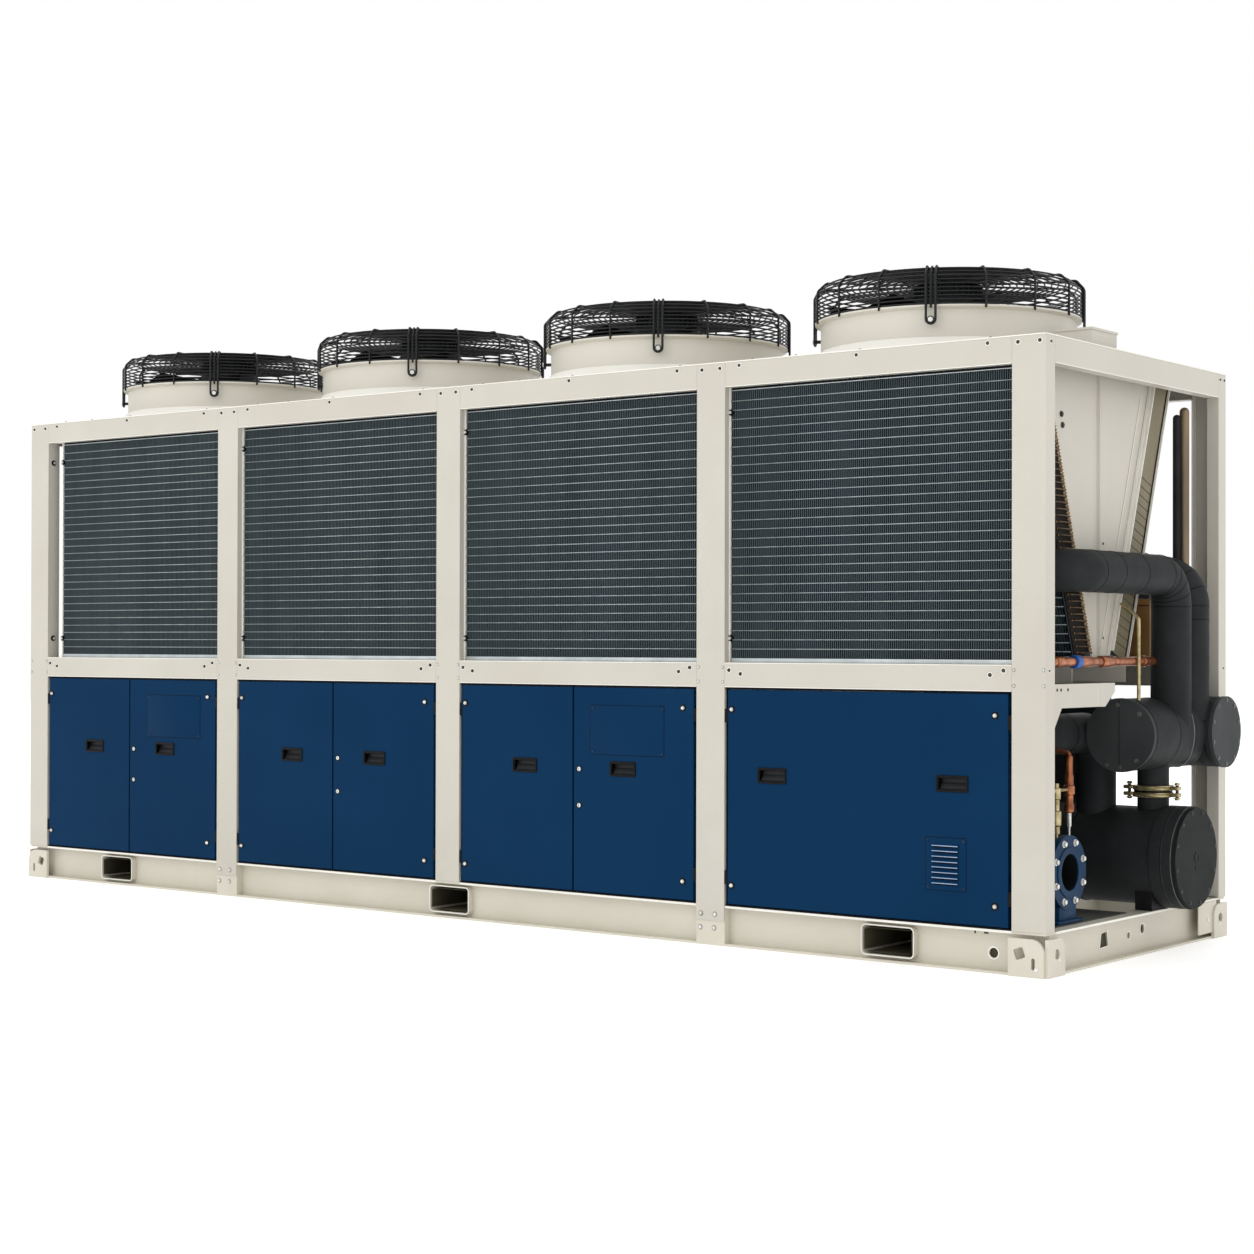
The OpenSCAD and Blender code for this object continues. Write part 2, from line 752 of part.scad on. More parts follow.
// Header: a pipe across the end, mitred into a short stub that points outwards
module header_solid() {
    across = stub_y - header_y0;
    out = end_x + stub_reach - header_x;
    r = header_r;
    translate([header_x, stub_y, header_z]) {
        intersection() {
            translate([0, r, 0]) rotate([90, 0, 0]) cylinder(h = across + r, r = r);
            translate([0, 0, -r]) linear_extrude(2 * r)
                polygon([[-r, r], [r, -r], [r, -across], [-r, -across]]);
        }
        intersection() {
            translate([-r, 0, 0]) rotate([0, 90, 0]) cylinder(h = out + r, r = r);
            translate([0, 0, -r]) linear_extrude(2 * r) polygon([[-r, r], [r, -r], [out, -r], [out, r]]);
        }
    }
}

module water_header() { color("black") placed() header_solid(); }

// The header's and the evaporator's outer faces, for cutting what stands on them
module header_cut() {
    translate([header_x, header_y0 - 1, header_z]) rotate([-90, 0, 0])
        cylinder(h = frame_d - header_y0, r = header_r);
}
module stub_cut() {
    translate([header_x - header_r, stub_y, header_z]) rotate([0, 90, 0])
        cylinder(h = end_x + stub_reach - header_x + header_r, r = header_r);
}
module shell_cut(x) {
    translate([x - shell_r, neck_y, shell_z]) rotate([0, 90, 0]) cylinder(h = 2 * shell_r, r = shell_r);
}

module header_caps() {
    color("black") placed() {
        translate([header_x, header_y0, header_z]) rotate([90, 0, 0]) cylinder(h = cap_t, r = header_r + 2);
        translate([end_x + stub_reach, stub_y, header_z]) rotate([0, 90, 0])
            cylinder(h = cap_t, r = header_r + 2);
    }
}

module header_neck() {
    color("black") placed() difference() {
        translate([header_x, neck_y, shell_z]) cylinder(h = header_z - shell_z, r = neck_r);
        header_cut();
        shell_cut(header_x);
    }
}

// Two-piece clamp around the neck, with a lug on each side
module neck_clamp() {
    clamp_z = shell_z + shell_r + 40;
    color("goldenrod") placed() translate([header_x, neck_y, clamp_z]) difference() {
        union() {
            cylinder(h = 50, r = neck_r + 16);
            for (s = [-1, 1]) translate([s * (neck_r + 18) - 18, -14, 4]) cube([36, 28, 42]);
        }
        translate([0, 0, -1]) cylinder(h = 52, r = neck_r);
    }
}

module bend(start, turn) {
    rotate(turn) rotate([0, 0, start]) rotate_extrude(angle = 90) translate([bend_r, 0]) circle(pipe_r);
}

// Pipe from the pump up behind the corner post, across the end and down to the header
module upper_pipe() {
    color("black") placed() difference() {
        union() {
            translate([down_x, down_y, pump_top]) cylinder(h = run_z - bend_r - pump_top, r = pipe_r);
            translate([down_x + bend_r, down_y, run_z - bend_r]) bend(90, [90, 0, 0]);
            translate([down_x + bend_r, down_y, run_z]) rotate([0, 90, 0])
                cylinder(h = pipe_x - down_x - 2 * bend_r, r = pipe_r);
            translate([pipe_x - bend_r, down_y + bend_r, run_z]) bend(270, [0, 0, 0]);
            translate([pipe_x, down_y + bend_r, run_z]) rotate([-90, 0, 0])
                cylinder(h = leg1_y - bend_r - down_y - bend_r, r = pipe_r);
            translate([pipe_x, leg1_y - bend_r, run_z - bend_r]) bend(0, [90, 0, 90]);
            translate([pipe_x, leg1_y, header_z]) cylinder(h = run_z - bend_r - header_z, r = pipe_r);
        }
        header_cut();
    }
}

// Second pipe beside it, from a capped stub behind the V down to the header
module rear_pipe() {
    stub_l = 60;
    collar_r = pipe_r + 14;
    collar_l = 70;
    foot_rise = 45;
    color("black") placed() difference() {
        union() {
            translate([pipe_x, leg2_y, header_z + foot_rise])
                cylinder(h = rear_run_z - bend_r - header_z - foot_rise, r = pipe_r);
            translate([pipe_x - bend_r, leg2_y, rear_run_z - bend_r]) bend(0, [90, 0, 0]);
            translate([pipe_x - bend_r, leg2_y, rear_run_z]) rotate([0, -90, 0])
                cylinder(h = stub_l + 1, r = pipe_r);
            translate([pipe_x - bend_r - stub_l, leg2_y, rear_run_z]) rotate([0, -90, 0])
                cylinder(h = collar_l, r = collar_r);
        }
        header_cut();
        stub_cut();
    }
}

// Branch from the pump's riser to the top of the evaporator
module return_pipe() {
    color("black") placed() difference() {
        union() {
            translate([down_x, down_y, header_z]) rotate([-90, 0, 0])
                cylinder(h = return_y - bend_r - down_y, r = pipe_r);
            translate([down_x, return_y - bend_r, header_z - bend_r]) bend(0, [90, 0, 90]);
            translate([down_x, return_y, shell_z]) cylinder(h = header_z - bend_r - shell_z, r = pipe_r);
        }
        translate([down_x, down_y, 0]) cylinder(h = run_z, r = pipe_r);
        shell_cut(down_x);
    }
}

// Pump: inlet flange, neck, round casing with its outlet at the top, foot and motor
module pump() {
    casing_r = 150;
    casing_l = 160;
    casing_x0 = down_x - casing_l / 2;
    motor_l = 380;
    motor_out_r = 118;
    foot_w = 180;
    foot_h = pump_z - base_h - 4;
    color("midnightblue") placed() difference() {
        union() {
            translate([pump_face_x, pump_y, pump_z]) rotate([0, -90, 0]) {
                cylinder(h = 24, d = flange_d);
                cylinder(h = pump_face_x - casing_x0, d = inlet_d + 36);
            }
            translate([casing_x0, pump_y, pump_z]) rotate([0, 90, 0]) cylinder(h = casing_l, r = casing_r);
            translate([down_x, down_y, pump_z]) cylinder(h = pump_top - 20 - pump_z, r = pipe_r - 12);
            translate([down_x, down_y, pump_top - 22]) cylinder(h = 22, r = pipe_r + 20);
            translate([casing_x0 - motor_l, pump_y, pump_z]) rotate([0, 90, 0])
                cylinder(h = motor_l + 1, r = motor_out_r);
            translate([casing_x0 - motor_l + 20, pump_y - foot_w / 2, base_h + 4])
                cube([casing_l + motor_l + 20, foot_w, foot_h]);
        }
        translate([pump_face_x + 1, pump_y, pump_z]) rotate([0, -90, 0]) cylinder(h = 190, d = inlet_d);
        for (k = [0:7]) translate([pump_face_x + 1, pump_y, pump_z]) rotate([k * 45 + 22.5, 0, 0])
            translate([0, flange_pcd / 2, 0]) rotate([0, -90, 0]) cylinder(h = 40, d = flange_hole);
    }
}

// Copper line from the arm under the coils to the top of the header
module copper_line() {
    line_x = end_x - 50;
    line_z = mid_top + 9;
    y0 = 110;
    y1 = header_y0 + 185;
    turn = 40;
    color("peru") placed() difference() {
        union() {
            translate([line_x, y0, bearer_top]) cylinder(h = line_z - turn - bearer_top, r = copper_r);
            translate([line_x, y0 + turn, line_z - turn]) rotate([90, 0, 90]) rotate([0, 0, 90])
                rotate_extrude(angle = 90) translate([turn, 0]) circle(copper_r);
            translate([line_x, y0 + turn, line_z]) rotate([-90, 0, 0])
                cylinder(h = y1 - y0 - 2 * turn, r = copper_r);
            translate([line_x, y1 - turn, line_z - turn]) rotate([90, 0, 90])
                rotate_extrude(angle = 90) translate([turn, 0]) circle(copper_r);
            translate([line_x, y1, header_z]) cylinder(h = line_z - turn - header_z, r = copper_r);
        }
        header_cut();
    }
}

// Upright pipe with a domed top beside the rear arm of the V
module rear_standpipe() {
    stand_x = end_x - 95;
    stand_y = stub_y + 12;
    top_z = frame_h - 110;
    color("rosybrown") placed() difference() {
        union() {
            translate([stand_x, stand_y, header_z]) cylinder(h = top_z - header_z, r = stand_r);
            translate([stand_x, stand_y, top_z]) sphere(stand_r);
        }
        header_cut();
    }
}

base_side_beams();
base_end_beams();
base_cross_beams();
base_floor();
fork_tubes();
lifting_plates();
post_feet();
front_posts();
rear_posts();
front_rails();
rear_rails();
end_rails();
coil_bearers();
compartment_roof();
coil_tray();
front_coils();
rear_coils();
coil_end_panels();
front_grilles();
fan_deck();
fan_cowls();
fan_guards_left();
fan_guards_right();
fan_motors();
fan_rotor_1();
fan_rotor_2();
fan_rotor_3();
fan_rotor_4();
deck_box();
hinge_brackets();
door_1_left();
door_1_right();
door_2_left();
door_2_right();
door_3_left();
door_3_right();
door_1_left_fittings();
door_1_right_fittings();
door_2_left_fittings();
door_2_right_fittings();
door_3_left_fittings();
door_3_right_fittings();
service_panel();
service_panel_fittings();
rear_panels();
left_end_panel();
evaporator();
evaporator_caps();
evaporator_saddles();
water_header();
header_caps();
header_neck();
neck_clamp();
upper_pipe();
rear_pipe();
return_pipe();
pump();
copper_line();
rear_standpipe();
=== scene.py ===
"""Looks of the air cooled water chiller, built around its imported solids.

Metres, in the solids' own frame: +X is the piped end, -Y is the front with the doors, +Z is up.
Places are written as in the solids' source: millimetres, X from the middle of the frame, Y from its
front face and Z from the ground. place() turns them into the shared frame.
"""
import math

import bmesh
import bpy
from mathutils import Matrix, Vector


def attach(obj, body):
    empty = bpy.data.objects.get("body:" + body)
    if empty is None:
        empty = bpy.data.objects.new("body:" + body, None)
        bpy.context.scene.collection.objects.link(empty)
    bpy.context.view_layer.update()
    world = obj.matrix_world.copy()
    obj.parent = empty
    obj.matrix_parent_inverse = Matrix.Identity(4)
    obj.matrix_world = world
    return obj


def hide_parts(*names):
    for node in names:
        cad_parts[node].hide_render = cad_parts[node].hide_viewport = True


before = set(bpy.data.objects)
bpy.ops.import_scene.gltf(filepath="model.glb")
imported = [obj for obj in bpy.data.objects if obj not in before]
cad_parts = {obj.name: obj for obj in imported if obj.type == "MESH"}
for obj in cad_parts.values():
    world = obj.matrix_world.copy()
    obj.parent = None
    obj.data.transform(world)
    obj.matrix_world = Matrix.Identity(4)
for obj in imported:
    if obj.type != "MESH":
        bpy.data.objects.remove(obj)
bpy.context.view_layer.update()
scene = bpy.context.scene

MM = 0.001
SHIFT_X, SHIFT_Y = -46.0, -720.0
FRONT, BACK, RIGHT, LEFT, UP, DOWN = (0, -1, 0), (0, 1, 0), (1, 0, 0), (-1, 0, 0), (0, 0, 1), (0, 0, -1)
ALONG_X = (0, math.pi / 2, 0)

# Frame and base
BAYS, BAY, POST, DEPTH, TOP, END = 4, 1282.0, 125.0, 1440.0, 2100.0, 2626.5
CLEAR = BAY - POST
RAIL, MID, BASE, SHEET = 88.0, 1020.0, 145.0, 4.0
POST_D, LIP, CORNER_RETURN = 64.0, 16.0, 26.0
FORK_PITCH, FORK_W, FORK_H, BEAM_W = 2020.0, 200.0, 97.0, 76.0
ARM_HALF, ARM_LOW, ARM_HIGH, ARM_OUT = 26.5, 874.5, 955.5, 580

# Coils and grilles
V_MID, V_TOP, V_LOW, COIL_T = 630.0, 558.0, 195.0, 112.0
COIL_LOW, COIL_HIGH, COIL_END = 1046.0, 2072.0, END - 120.0
COIL_MID = (COIL_LOW + COIL_HIGH) / 2
SLOPE = math.atan((V_TOP - V_LOW) / (COIL_HIGH - COIL_LOW))
COIL_ACROSS = COIL_T / math.cos(SLOPE)
COIL_RISE = (COIL_HIGH - COIL_LOW) / math.cos(SLOPE)
PANEL_FACE = END - 124.0
GRILLE_STRIP, STUD_HEIGHTS = 66.0, (1108.0, 1922.0)

# Fans
COWL_TOP, GUARD_TOP = 2259.0, 2400.0
GUARD_TURN = (-50.0, -56.0, -57.0, -67.0)
FAN_Y, MOTOR_LOW, MOTOR_HIGH = 588.0, 2346.0, 2390.0
HUB_MID, HUB_R, BLADE_LAY, BLADE_DROP = 2295.0, 130.0, 0.55, 18.0

# Doors and panels
DOOR_FACE, DOOR_W, SIDE_GAP, REAR_GAP = 2.0, 560.5, 14.0, 340.0
HANDLE_Z, HANDLE_IN = 620.0, 235.0
CATCH_LOW, PANEL_BOLTS = 221, (192, 886)

# Water side
PIPE_X, PIPE_R, RUN_Z, REAR_RUN_Z, BEND = END - 10.0, 72.0, 1336.0, 1342.0, 112.0
HEADER_X, HEADER_Z, HEADER_R, STUB_Y = END - 65.0, 770.0, 128.0, 1240.0
SHELL_R, SHELL_Z, SHELL_Y, SHELL_FACE = 175.0, 330.0, 950.0, END + 100.0
LEG_1, LEG_2 = 979.0, 1135.0
PUMP_X, PUMP_Y, PUMP_Z = END - 63.0, 290.0, 320.0


def place(x, y, z):
    """Point of the source in the shared frame."""
    return Vector(((x + SHIFT_X) * MM, (y + SHIFT_Y) * MM, z * MM))


def post_x(i):
    return (i - 2) * BAY


def bay_x(i):
    return (i - 1.5) * BAY


def bay_sides(i):
    """X of the post faces on the left and the right of a bay."""
    return bay_x(i) - CLEAR / 2, bay_x(i) + CLEAR / 2


# Camera and studio

LAMPS = (("key", (-0.8, -8.5, 7.0), (0.0, 0.0, 1.0), 6.0, 150.0),
         ("end", (8.5, -1.0, 5.0), (2.4, 0.0, 1.0), 4.0, 4.0),
         ("rear", (-3.0, 8.0, 6.0), (0.0, 0.0, 1.0), 6.0, 120.0))
FLOOR_HALF, FLOOR_Z, FLOOR_GLOW = 30.0, -0.001, 0.35


def photo_camera():
    """Almost level camera, about 38 degrees round from the front, solved from the frame's corners."""
    data = bpy.data.cameras.new("camera")
    data.lens, data.sensor_width = 65.39, 36.0
    data.clip_start, data.clip_end = 0.1, 200.0
    camera = bpy.data.objects.new("camera", data)
    turn = Matrix.Rotation(math.radians(37.87), 4, "Z") @ Matrix.Rotation(math.radians(90.46), 4, "X")
    camera.matrix_world = (Matrix.Translation((6.05405, -7.40726, 1.08147)) @ turn
                           @ Matrix.Rotation(math.radians(0.13), 4, "Z"))
    scene.collection.objects.link(camera)
    scene.camera = camera


def studio():
    """White surroundings, three soft lamps and a pale ground."""
    scene.view_settings.view_transform = "Standard"
    world = bpy.data.worlds.new("studio")
    world.use_nodes = True
    back = world.node_tree.nodes["Background"]
    back.inputs["Color"].default_value = (1.0, 1.0, 1.0, 1.0)
    back.inputs["Strength"].default_value = 1.0
    scene.world = world
    for name, spot, aim, size, power in LAMPS:
        data = bpy.data.lights.new(name, "AREA")
        data.shape, data.size, data.energy = "SQUARE", size, power
        lamp = bpy.data.objects.new(name, data)
        lamp.location = spot
        lamp.rotation_euler = (Vector(aim) - Vector(spot)).to_track_quat("-Z", "Y").to_euler()
        scene.collection.objects.link(lamp)
    ground = bpy.data.meshes.new("floor")
    corners = ((-1, -1), (1, -1), (1, 1), (-1, 1))
    ground.from_pydata([(x * FLOOR_HALF, y * FLOOR_HALF, FLOOR_Z) for x, y in corners], [], [(0, 1, 2, 3)])
    floor = bpy.data.objects.new("floor", ground)
    pale = surface("floor_pale", (250, 250, 250), (246, 246, 246), 0.9, spread=0.4)
    glow = pale.node_tree.nodes["Principled BSDF"].inputs
    glow["Emission Color"].default_value = (1.0, 1.0, 1.0, 1.0)
    glow["Emission Strength"].default_value = FLOOR_GLOW
    floor.data.materials.append(pale)
    scene.collection.objects.link(floor)


# Finishes

ROUGH_SWING = 0.08


def linear(colour):
    """Screen colour of 0 to 255 as the light values that a shader takes."""
    return tuple(((c / 255 + 0.055) / 1.055) ** 2.4 if c > 10 else c / 255 / 12.92 for c in colour) + (1.0,)


def add_node(tree, kind, values=None, **settings):
    """New node with its settings. Each of its inputs takes a value or a link."""
    made = tree.nodes.new(kind)
    for key, value in settings.items():
        setattr(made, key, value)
    for key, value in (values or {}).items():
        if isinstance(value, bpy.types.NodeSocket):
            tree.links.new(value, made.inputs[key])
        else:
            made.inputs[key].default_value = value
    return made


def step(tree, kind, values=None, **settings):
    """First output of a new node."""
    return add_node(tree, kind, values, **settings).outputs[0]


def noise(tree, where, scale, detail):
    return step(tree, "ShaderNodeTexNoise", {"Vector": where, "Scale": scale, "Detail": detail})


def surface(name, light, dark, rough, spread=5.0, metal=0.0, grain=(700.0, 0.03), specular=0.35,
            stretch=(1.0, 1.0, 1.0), soil=None, ribs=None):
    """Finish with two close tones in soft patches, uneven gloss and a fine relief.
    soil is (height, tone, share): dirt that fades out upwards. ribs is (axis, pitch, depth): fine folds."""
    paint = bpy.data.materials.new(name)
    paint.use_nodes = True
    tree = paint.node_tree
    gloss = tree.nodes["Principled BSDF"]
    coord = add_node(tree, "ShaderNodeTexCoord").outputs["Object"]
    drawn = step(tree, "ShaderNodeMapping", {"Vector": coord, "Scale": stretch})
    tones = add_node(tree, "ShaderNodeValToRGB", {"Fac": noise(tree, drawn, spread, 5.0)})
    for stop, share, tone in zip(tones.color_ramp.elements, (0.32, 0.68), (dark, light)):
        stop.position, stop.color = share, linear(tone)
    colour = tones.outputs["Color"]
    if soil:
        height, tone, share = soil
        up = add_node(tree, "ShaderNodeSeparateXYZ", {"Vector": coord}).outputs["Z"]
        fade = step(tree, "ShaderNodeMapRange", {"Value": up, "From Max": height, "To Min": share,
                                                 "To Max": 0.0})
        specks = noise(tree, coord, 28.0, 7.0)
        amount = step(tree, "ShaderNodeMath", {0: fade, 1: specks}, operation="MULTIPLY")
        mixed = add_node(tree, "ShaderNodeMix", {0: amount, 6: colour, 7: linear(tone)}, data_type="RGBA")
        colour = mixed.outputs[2]
    swing = step(tree, "ShaderNodeMapRange", {"Value": noise(tree, drawn, spread * 3, 3.0),
                                              "To Min": rough - ROUGH_SWING, "To Max": rough + ROUGH_SWING})
    relief = step(tree, "ShaderNodeBump", {"Height": noise(tree, coord, grain[0], 2.0), "Strength": grain[1],
                                           "Distance": 0.002})
    if ribs:
        axis, pitch, depth = ribs
        folds = add_node(tree, "ShaderNodeTexWave", {"Vector": coord, "Scale": 0.3142 / (pitch * MM)},
                         bands_direction=axis, wave_profile="TRI").outputs["Fac"]
        relief = step(tree, "ShaderNodeBump", {"Height": folds, "Strength": depth, "Distance": 0.004,
                                               "Normal": relief})
    for socket, value in (("Base Color", colour), ("Roughness", swing), ("Normal", relief)):
        tree.links.new(value, gloss.inputs[socket])
    gloss.inputs["Metallic"].default_value = metal
    gloss.inputs["Specular IOR Level"].default_value = specular
    return paint


PAINT_GRAIN, FOAM_GRAIN, CAP_GRAIN, MOULD_GRAIN = (900.0, 0.04), (260.0, 0.12), (420.0, 0.1), (1500.0, 0.08)

CREAM = surface("cream_coat", (200, 196, 185), (194, 189, 177), 0.42, 2.2, grain=PAINT_GRAIN,
                soil=(0.30, (146, 138, 116), 0.10))
BASE_CREAM = surface("base_cream", (211, 206, 192), (203, 198, 183), 0.45, 2.6, grain=PAINT_GRAIN,
                     soil=(0.16, (150, 142, 120), 0.12))
COWL = surface("cowl_cream", (212, 208, 197), (206, 202, 190), 0.42, 2.2, grain=PAINT_GRAIN)
SKIRT = surface("skirt_white", (236, 234, 226), (228, 225, 216), 0.42, 3.0)
# Bright cream of edge strips, rims, lips and fold lines: painted highlight where edges and folds catch the
# light.
CREAM_HIGHLIGHT = surface("cream_painted_highlight", (240, 238, 230), (231, 228, 218), 0.4, 6.0)
# Olive brown of the rear arm's end channel: cream darkened as painted shade.
CREAM_IN_SHADE = surface("cream_painted_shade", (134, 126, 102), (114, 106, 84), 0.5, 4.0, stretch=(1, 1, 0.3))
# Dark olive inside the fork pockets and behind the base openings: painted shade.
PAINTED_POCKET_SHADE = surface("pocket_shade", (84, 79, 63), (56, 53, 42), 0.6, 5.0, specular=0.1)
BLUE = surface("blue_coat", (11, 49, 82), (8, 45, 77), 0.42, 1.6, grain=(1100.0, 0.03), specular=0.03)
LOUVRE_LIT = surface("louvre_painted_highlight", (160, 180, 212), (132, 154, 190), 0.35, 14.0)
PUMP_BLUE = surface("pump_blue", (14, 52, 84), (9, 42, 70), 0.42, 7.0, grain=(420.0, 0.08), specular=0.12)
COLLAR = surface("collar_blue", (30, 92, 170), (22, 76, 148), 0.4, 20.0)
JOINT = surface("panel_joint", (12, 16, 24), (7, 10, 15), 0.7, 12.0, specular=0.1)
FINS = surface("fin_slate", (66, 79, 84), (55, 67, 71), 0.5, 7.0, metal=0.15, stretch=(1, 1, 0.15))
FIN_PAINTED_SHADOW = surface("fin_shadow", (26, 33, 36), (18, 23, 26), 0.7, 9.0, specular=0.1)
ROD = surface("rod_zinc", (158, 167, 168), (132, 141, 142), 0.4, 20.0, metal=0.3)
EDGE_TUBE = surface("edge_tube", (206, 213, 215), (182, 190, 192), 0.35, 12.0, metal=0.4)
COIL = surface("coil_block", (58, 70, 76), (38, 47, 53), 0.55, 6.0, metal=0.4, ribs=("X", 9.0, 0.8))
GUARD = surface("guard_black", (27, 28, 29), (18, 19, 20), 0.4, 25.0, specular=0.3)
MOTOR = surface("motor_grey", (42, 45, 46), (31, 33, 34), 0.5, 12.0, specular=0.2)
BLADE = surface("blade_black", (40, 43, 44), (29, 31, 32), 0.45, 8.0, specular=0.2)
PLASTIC = surface("moulded_black", (15, 15, 16), (9, 9, 10), 0.36, 30.0, grain=MOULD_GRAIN, specular=0.14)
GRIP = surface("grip_grey", (34, 36, 38), (27, 28, 30), 0.4, 18.0, grain=MOULD_GRAIN, specular=0.18)
FOAM = surface("pipe_foam", (45, 47, 48), (36, 38, 39), 0.55, 9.0, grain=FOAM_GRAIN, specular=0.08)
FOAM_SEAM = surface("foam_seam", (18, 19, 20), (11, 12, 13), 0.55, 20.0, specular=0.15)
# Mid grey of the shell cap's bolts, also used as a dim painted highlight at the shell band's edge.
FOAM_GREY_AND_HIGHLIGHT = surface("foam_grey_and_highlight", (66, 69, 71), (50, 53, 55), 0.5, 30.0, specular=0.25)
# Light grey of seam edges: painted highlight.
SEAM_HIGHLIGHT = surface("seam_painted_highlight", (120, 124, 126), (94, 98, 100), 0.5, 30.0, specular=0.2)
HEADER_CAP = surface("header_cap", (60, 63, 64), (51, 54, 55), 0.55, 6.0, grain=CAP_GRAIN, specular=0.15)
SHELL_CAP = surface("shell_cap", (36, 38, 38), (30, 32, 32), 0.55, 6.0, grain=CAP_GRAIN, specular=0.07)
CAP_BOLT = surface("cap_bolt", (122, 122, 119), (84, 84, 81), 0.35, 60.0, metal=0.5)
SADDLE = surface("saddle_black", (28, 28, 29), (18, 18, 19), 0.55, 10.0, specular=0.2)
ZINC = surface("bolt_zinc", (238, 237, 232), (198, 196, 189), 0.3, 60.0, metal=0.4)
DARK_BOLT = surface("bolt_dark", (78, 76, 71), (48, 47, 44), 0.4, 60.0, metal=0.6)
BRASS = surface("clamp_brass", (210, 196, 152), (152, 136, 96), 0.32, 40.0, metal=0.7)
COPPER = surface("copper_tube", (196, 126, 88), (122, 72, 48), 0.32, 26.0, metal=0.8)
BEND_COPPER = surface("bend_copper", (206, 178, 130), (116, 88, 56), 0.4, 150.0, metal=0.35)
BEND_DARK = surface("bend_dark", (104, 80, 52), (66, 50, 33), 0.45, 40.0, metal=0.3)
# Near black brown at the ends of the arms; on the front arm's end plate and in the strips just inside the
# channel's edges it is painted shade.
ARM_BROWN = surface("arm_end_brown", (34, 28, 22), (20, 17, 13), 0.6, 30.0, specular=0.1)
STEEL_PIPE = surface("pipe_steel", (156, 136, 110), (108, 94, 78), 0.36, 6.0, metal=0.75,
                     stretch=(1, 1, 0.25))
FLOOR_PAINT = surface("floor_plate", (84, 86, 81), (60, 62, 58), 0.6, 6.0, specular=0.15)
TAN = surface("box_tan", (190, 142, 84), (162, 116, 64), 0.55, 9.0)

# Solids that show as they are and aren't cream
FINISH_OF = {name: coat for coat, names in (
    (COIL, "front_coils rear_coils"), (MOTOR, "fan_motors"), (COWL, "fan_cowls"), (PLASTIC, "hinge_brackets"),
    (BASE_CREAM, "base_side_beams base_end_beams fork_tubes lifting_plates post_feet"),
    (FLOOR_PAINT, "base_floor"), (SADDLE, "evaporator_saddles"), (PUMP_BLUE, "pump"),
    (FOAM, "evaporator water_header header_neck upper_pipe return_pipe rear_pipe"),
    (SHELL_CAP, "evaporator_caps"), (HEADER_CAP, "header_caps"),
) for name in names.split()}


def finish_solids():
    """Gives every solid its finish, also those that a piece stands for."""
    for name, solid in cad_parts.items():
        solid.data.materials.clear()
        solid.data.materials.append(PLASTIC if name.endswith("_fittings") else FINISH_OF.get(name, CREAM))


# Trees that repeat a shape

def tree_of(name, sizes):
    """New tree with a geometry input, the named sizes and a material. Returns the tree and its inputs."""
    tree = bpy.data.node_groups.new(name, "GeometryNodeTree")
    tree.interface.new_socket("Geometry", in_out="INPUT", socket_type="NodeSocketGeometry")
    for label, kind in sizes.items():
        tree.interface.new_socket(label, in_out="INPUT", socket_type="NodeSocket" + kind)
    tree.interface.new_socket("Material", in_out="INPUT", socket_type="NodeSocketMaterial")
    tree.interface.new_socket("Geometry", in_out="OUTPUT", socket_type="NodeSocketGeometry")
    return tree, tree.nodes.new("NodeGroupInput").outputs


def close_tree(tree, geometry, given, smooth=False):
    """Ends a tree in real geometry with the given material."""
    real = step(tree, "GeometryNodeRealizeInstances", {"Geometry": geometry})
    if smooth:
        real = step(tree, "GeometryNodeSetShadeSmooth", {"Geometry": real})
    done = step(tree, "GeometryNodeSetMaterial", {"Geometry": real, "Material": given["Material"]})
    tree.links.new(done, tree.nodes.new("NodeGroupOutput").inputs[0])
    return tree


def copies(tree, points, shape, **more):
    return step(tree, "GeometryNodeInstanceOnPoints", {"Points": points, "Instance": shape, **more})


def line_points(tree, count, start, stride):
    return step(tree, "GeometryNodeMeshLine", {"Count": count, "Start Location": start, "Offset": stride},
                mode="OFFSET")


def ring_points(tree, given, first=0.0):
    """Points on one spot, and the turns that spread their copies round an upright axis."""
    spots = line_points(tree, given["Count"], given["Centre"], (0.0, 0.0, 0.0))
    share = step(tree, "ShaderNodeMath", {0: math.tau, 1: given["Count"]}, operation="DIVIDE")
    index = step(tree, "GeometryNodeInputIndex")
    angle = step(tree, "ShaderNodeMath", {0: index, 1: share, 2: first}, operation="MULTIPLY_ADD")
    upright = step(tree, "ShaderNodeCombineXYZ", {"Z": angle})
    return spots, step(tree, "FunctionNodeEulerToRotation", {"Euler": upright})


def circle(tree, radius, resolution):
    return step(tree, "GeometryNodeCurvePrimitiveCircle", {"Resolution": resolution, "Radius": radius},
                mode="RADIUS")


def drawn_wire(tree, curve, radius, sides, caps=True):
    return step(tree, "GeometryNodeCurveToMesh", {
        "Curve": curve, "Profile Curve": circle(tree, radius, sides), "Fill Caps": caps})


def bent_line(tree, given, count):
    """The drawn edges as a curve with rounded bends."""
    line = step(tree, "GeometryNodeMeshToCurve", {"Mesh": given["Geometry"]})
    return step(tree, "GeometryNodeFilletCurve", {"Curve": line, "Radius": given["Bend"], "Count": count,
                                                  "Limit Radius": True}, mode="POLY")


def point_size(tree):
    return step(tree, "GeometryNodeInputNamedAttribute", {"Name": "size"}, data_type="FLOAT")


def facing_turn(tree):
    facing = step(tree, "GeometryNodeInputNamedAttribute", {"Name": "facing"}, data_type="FLOAT_VECTOR")
    return step(tree, "FunctionNodeAlignRotationToVector", {"Vector": facing}, axis="Z")


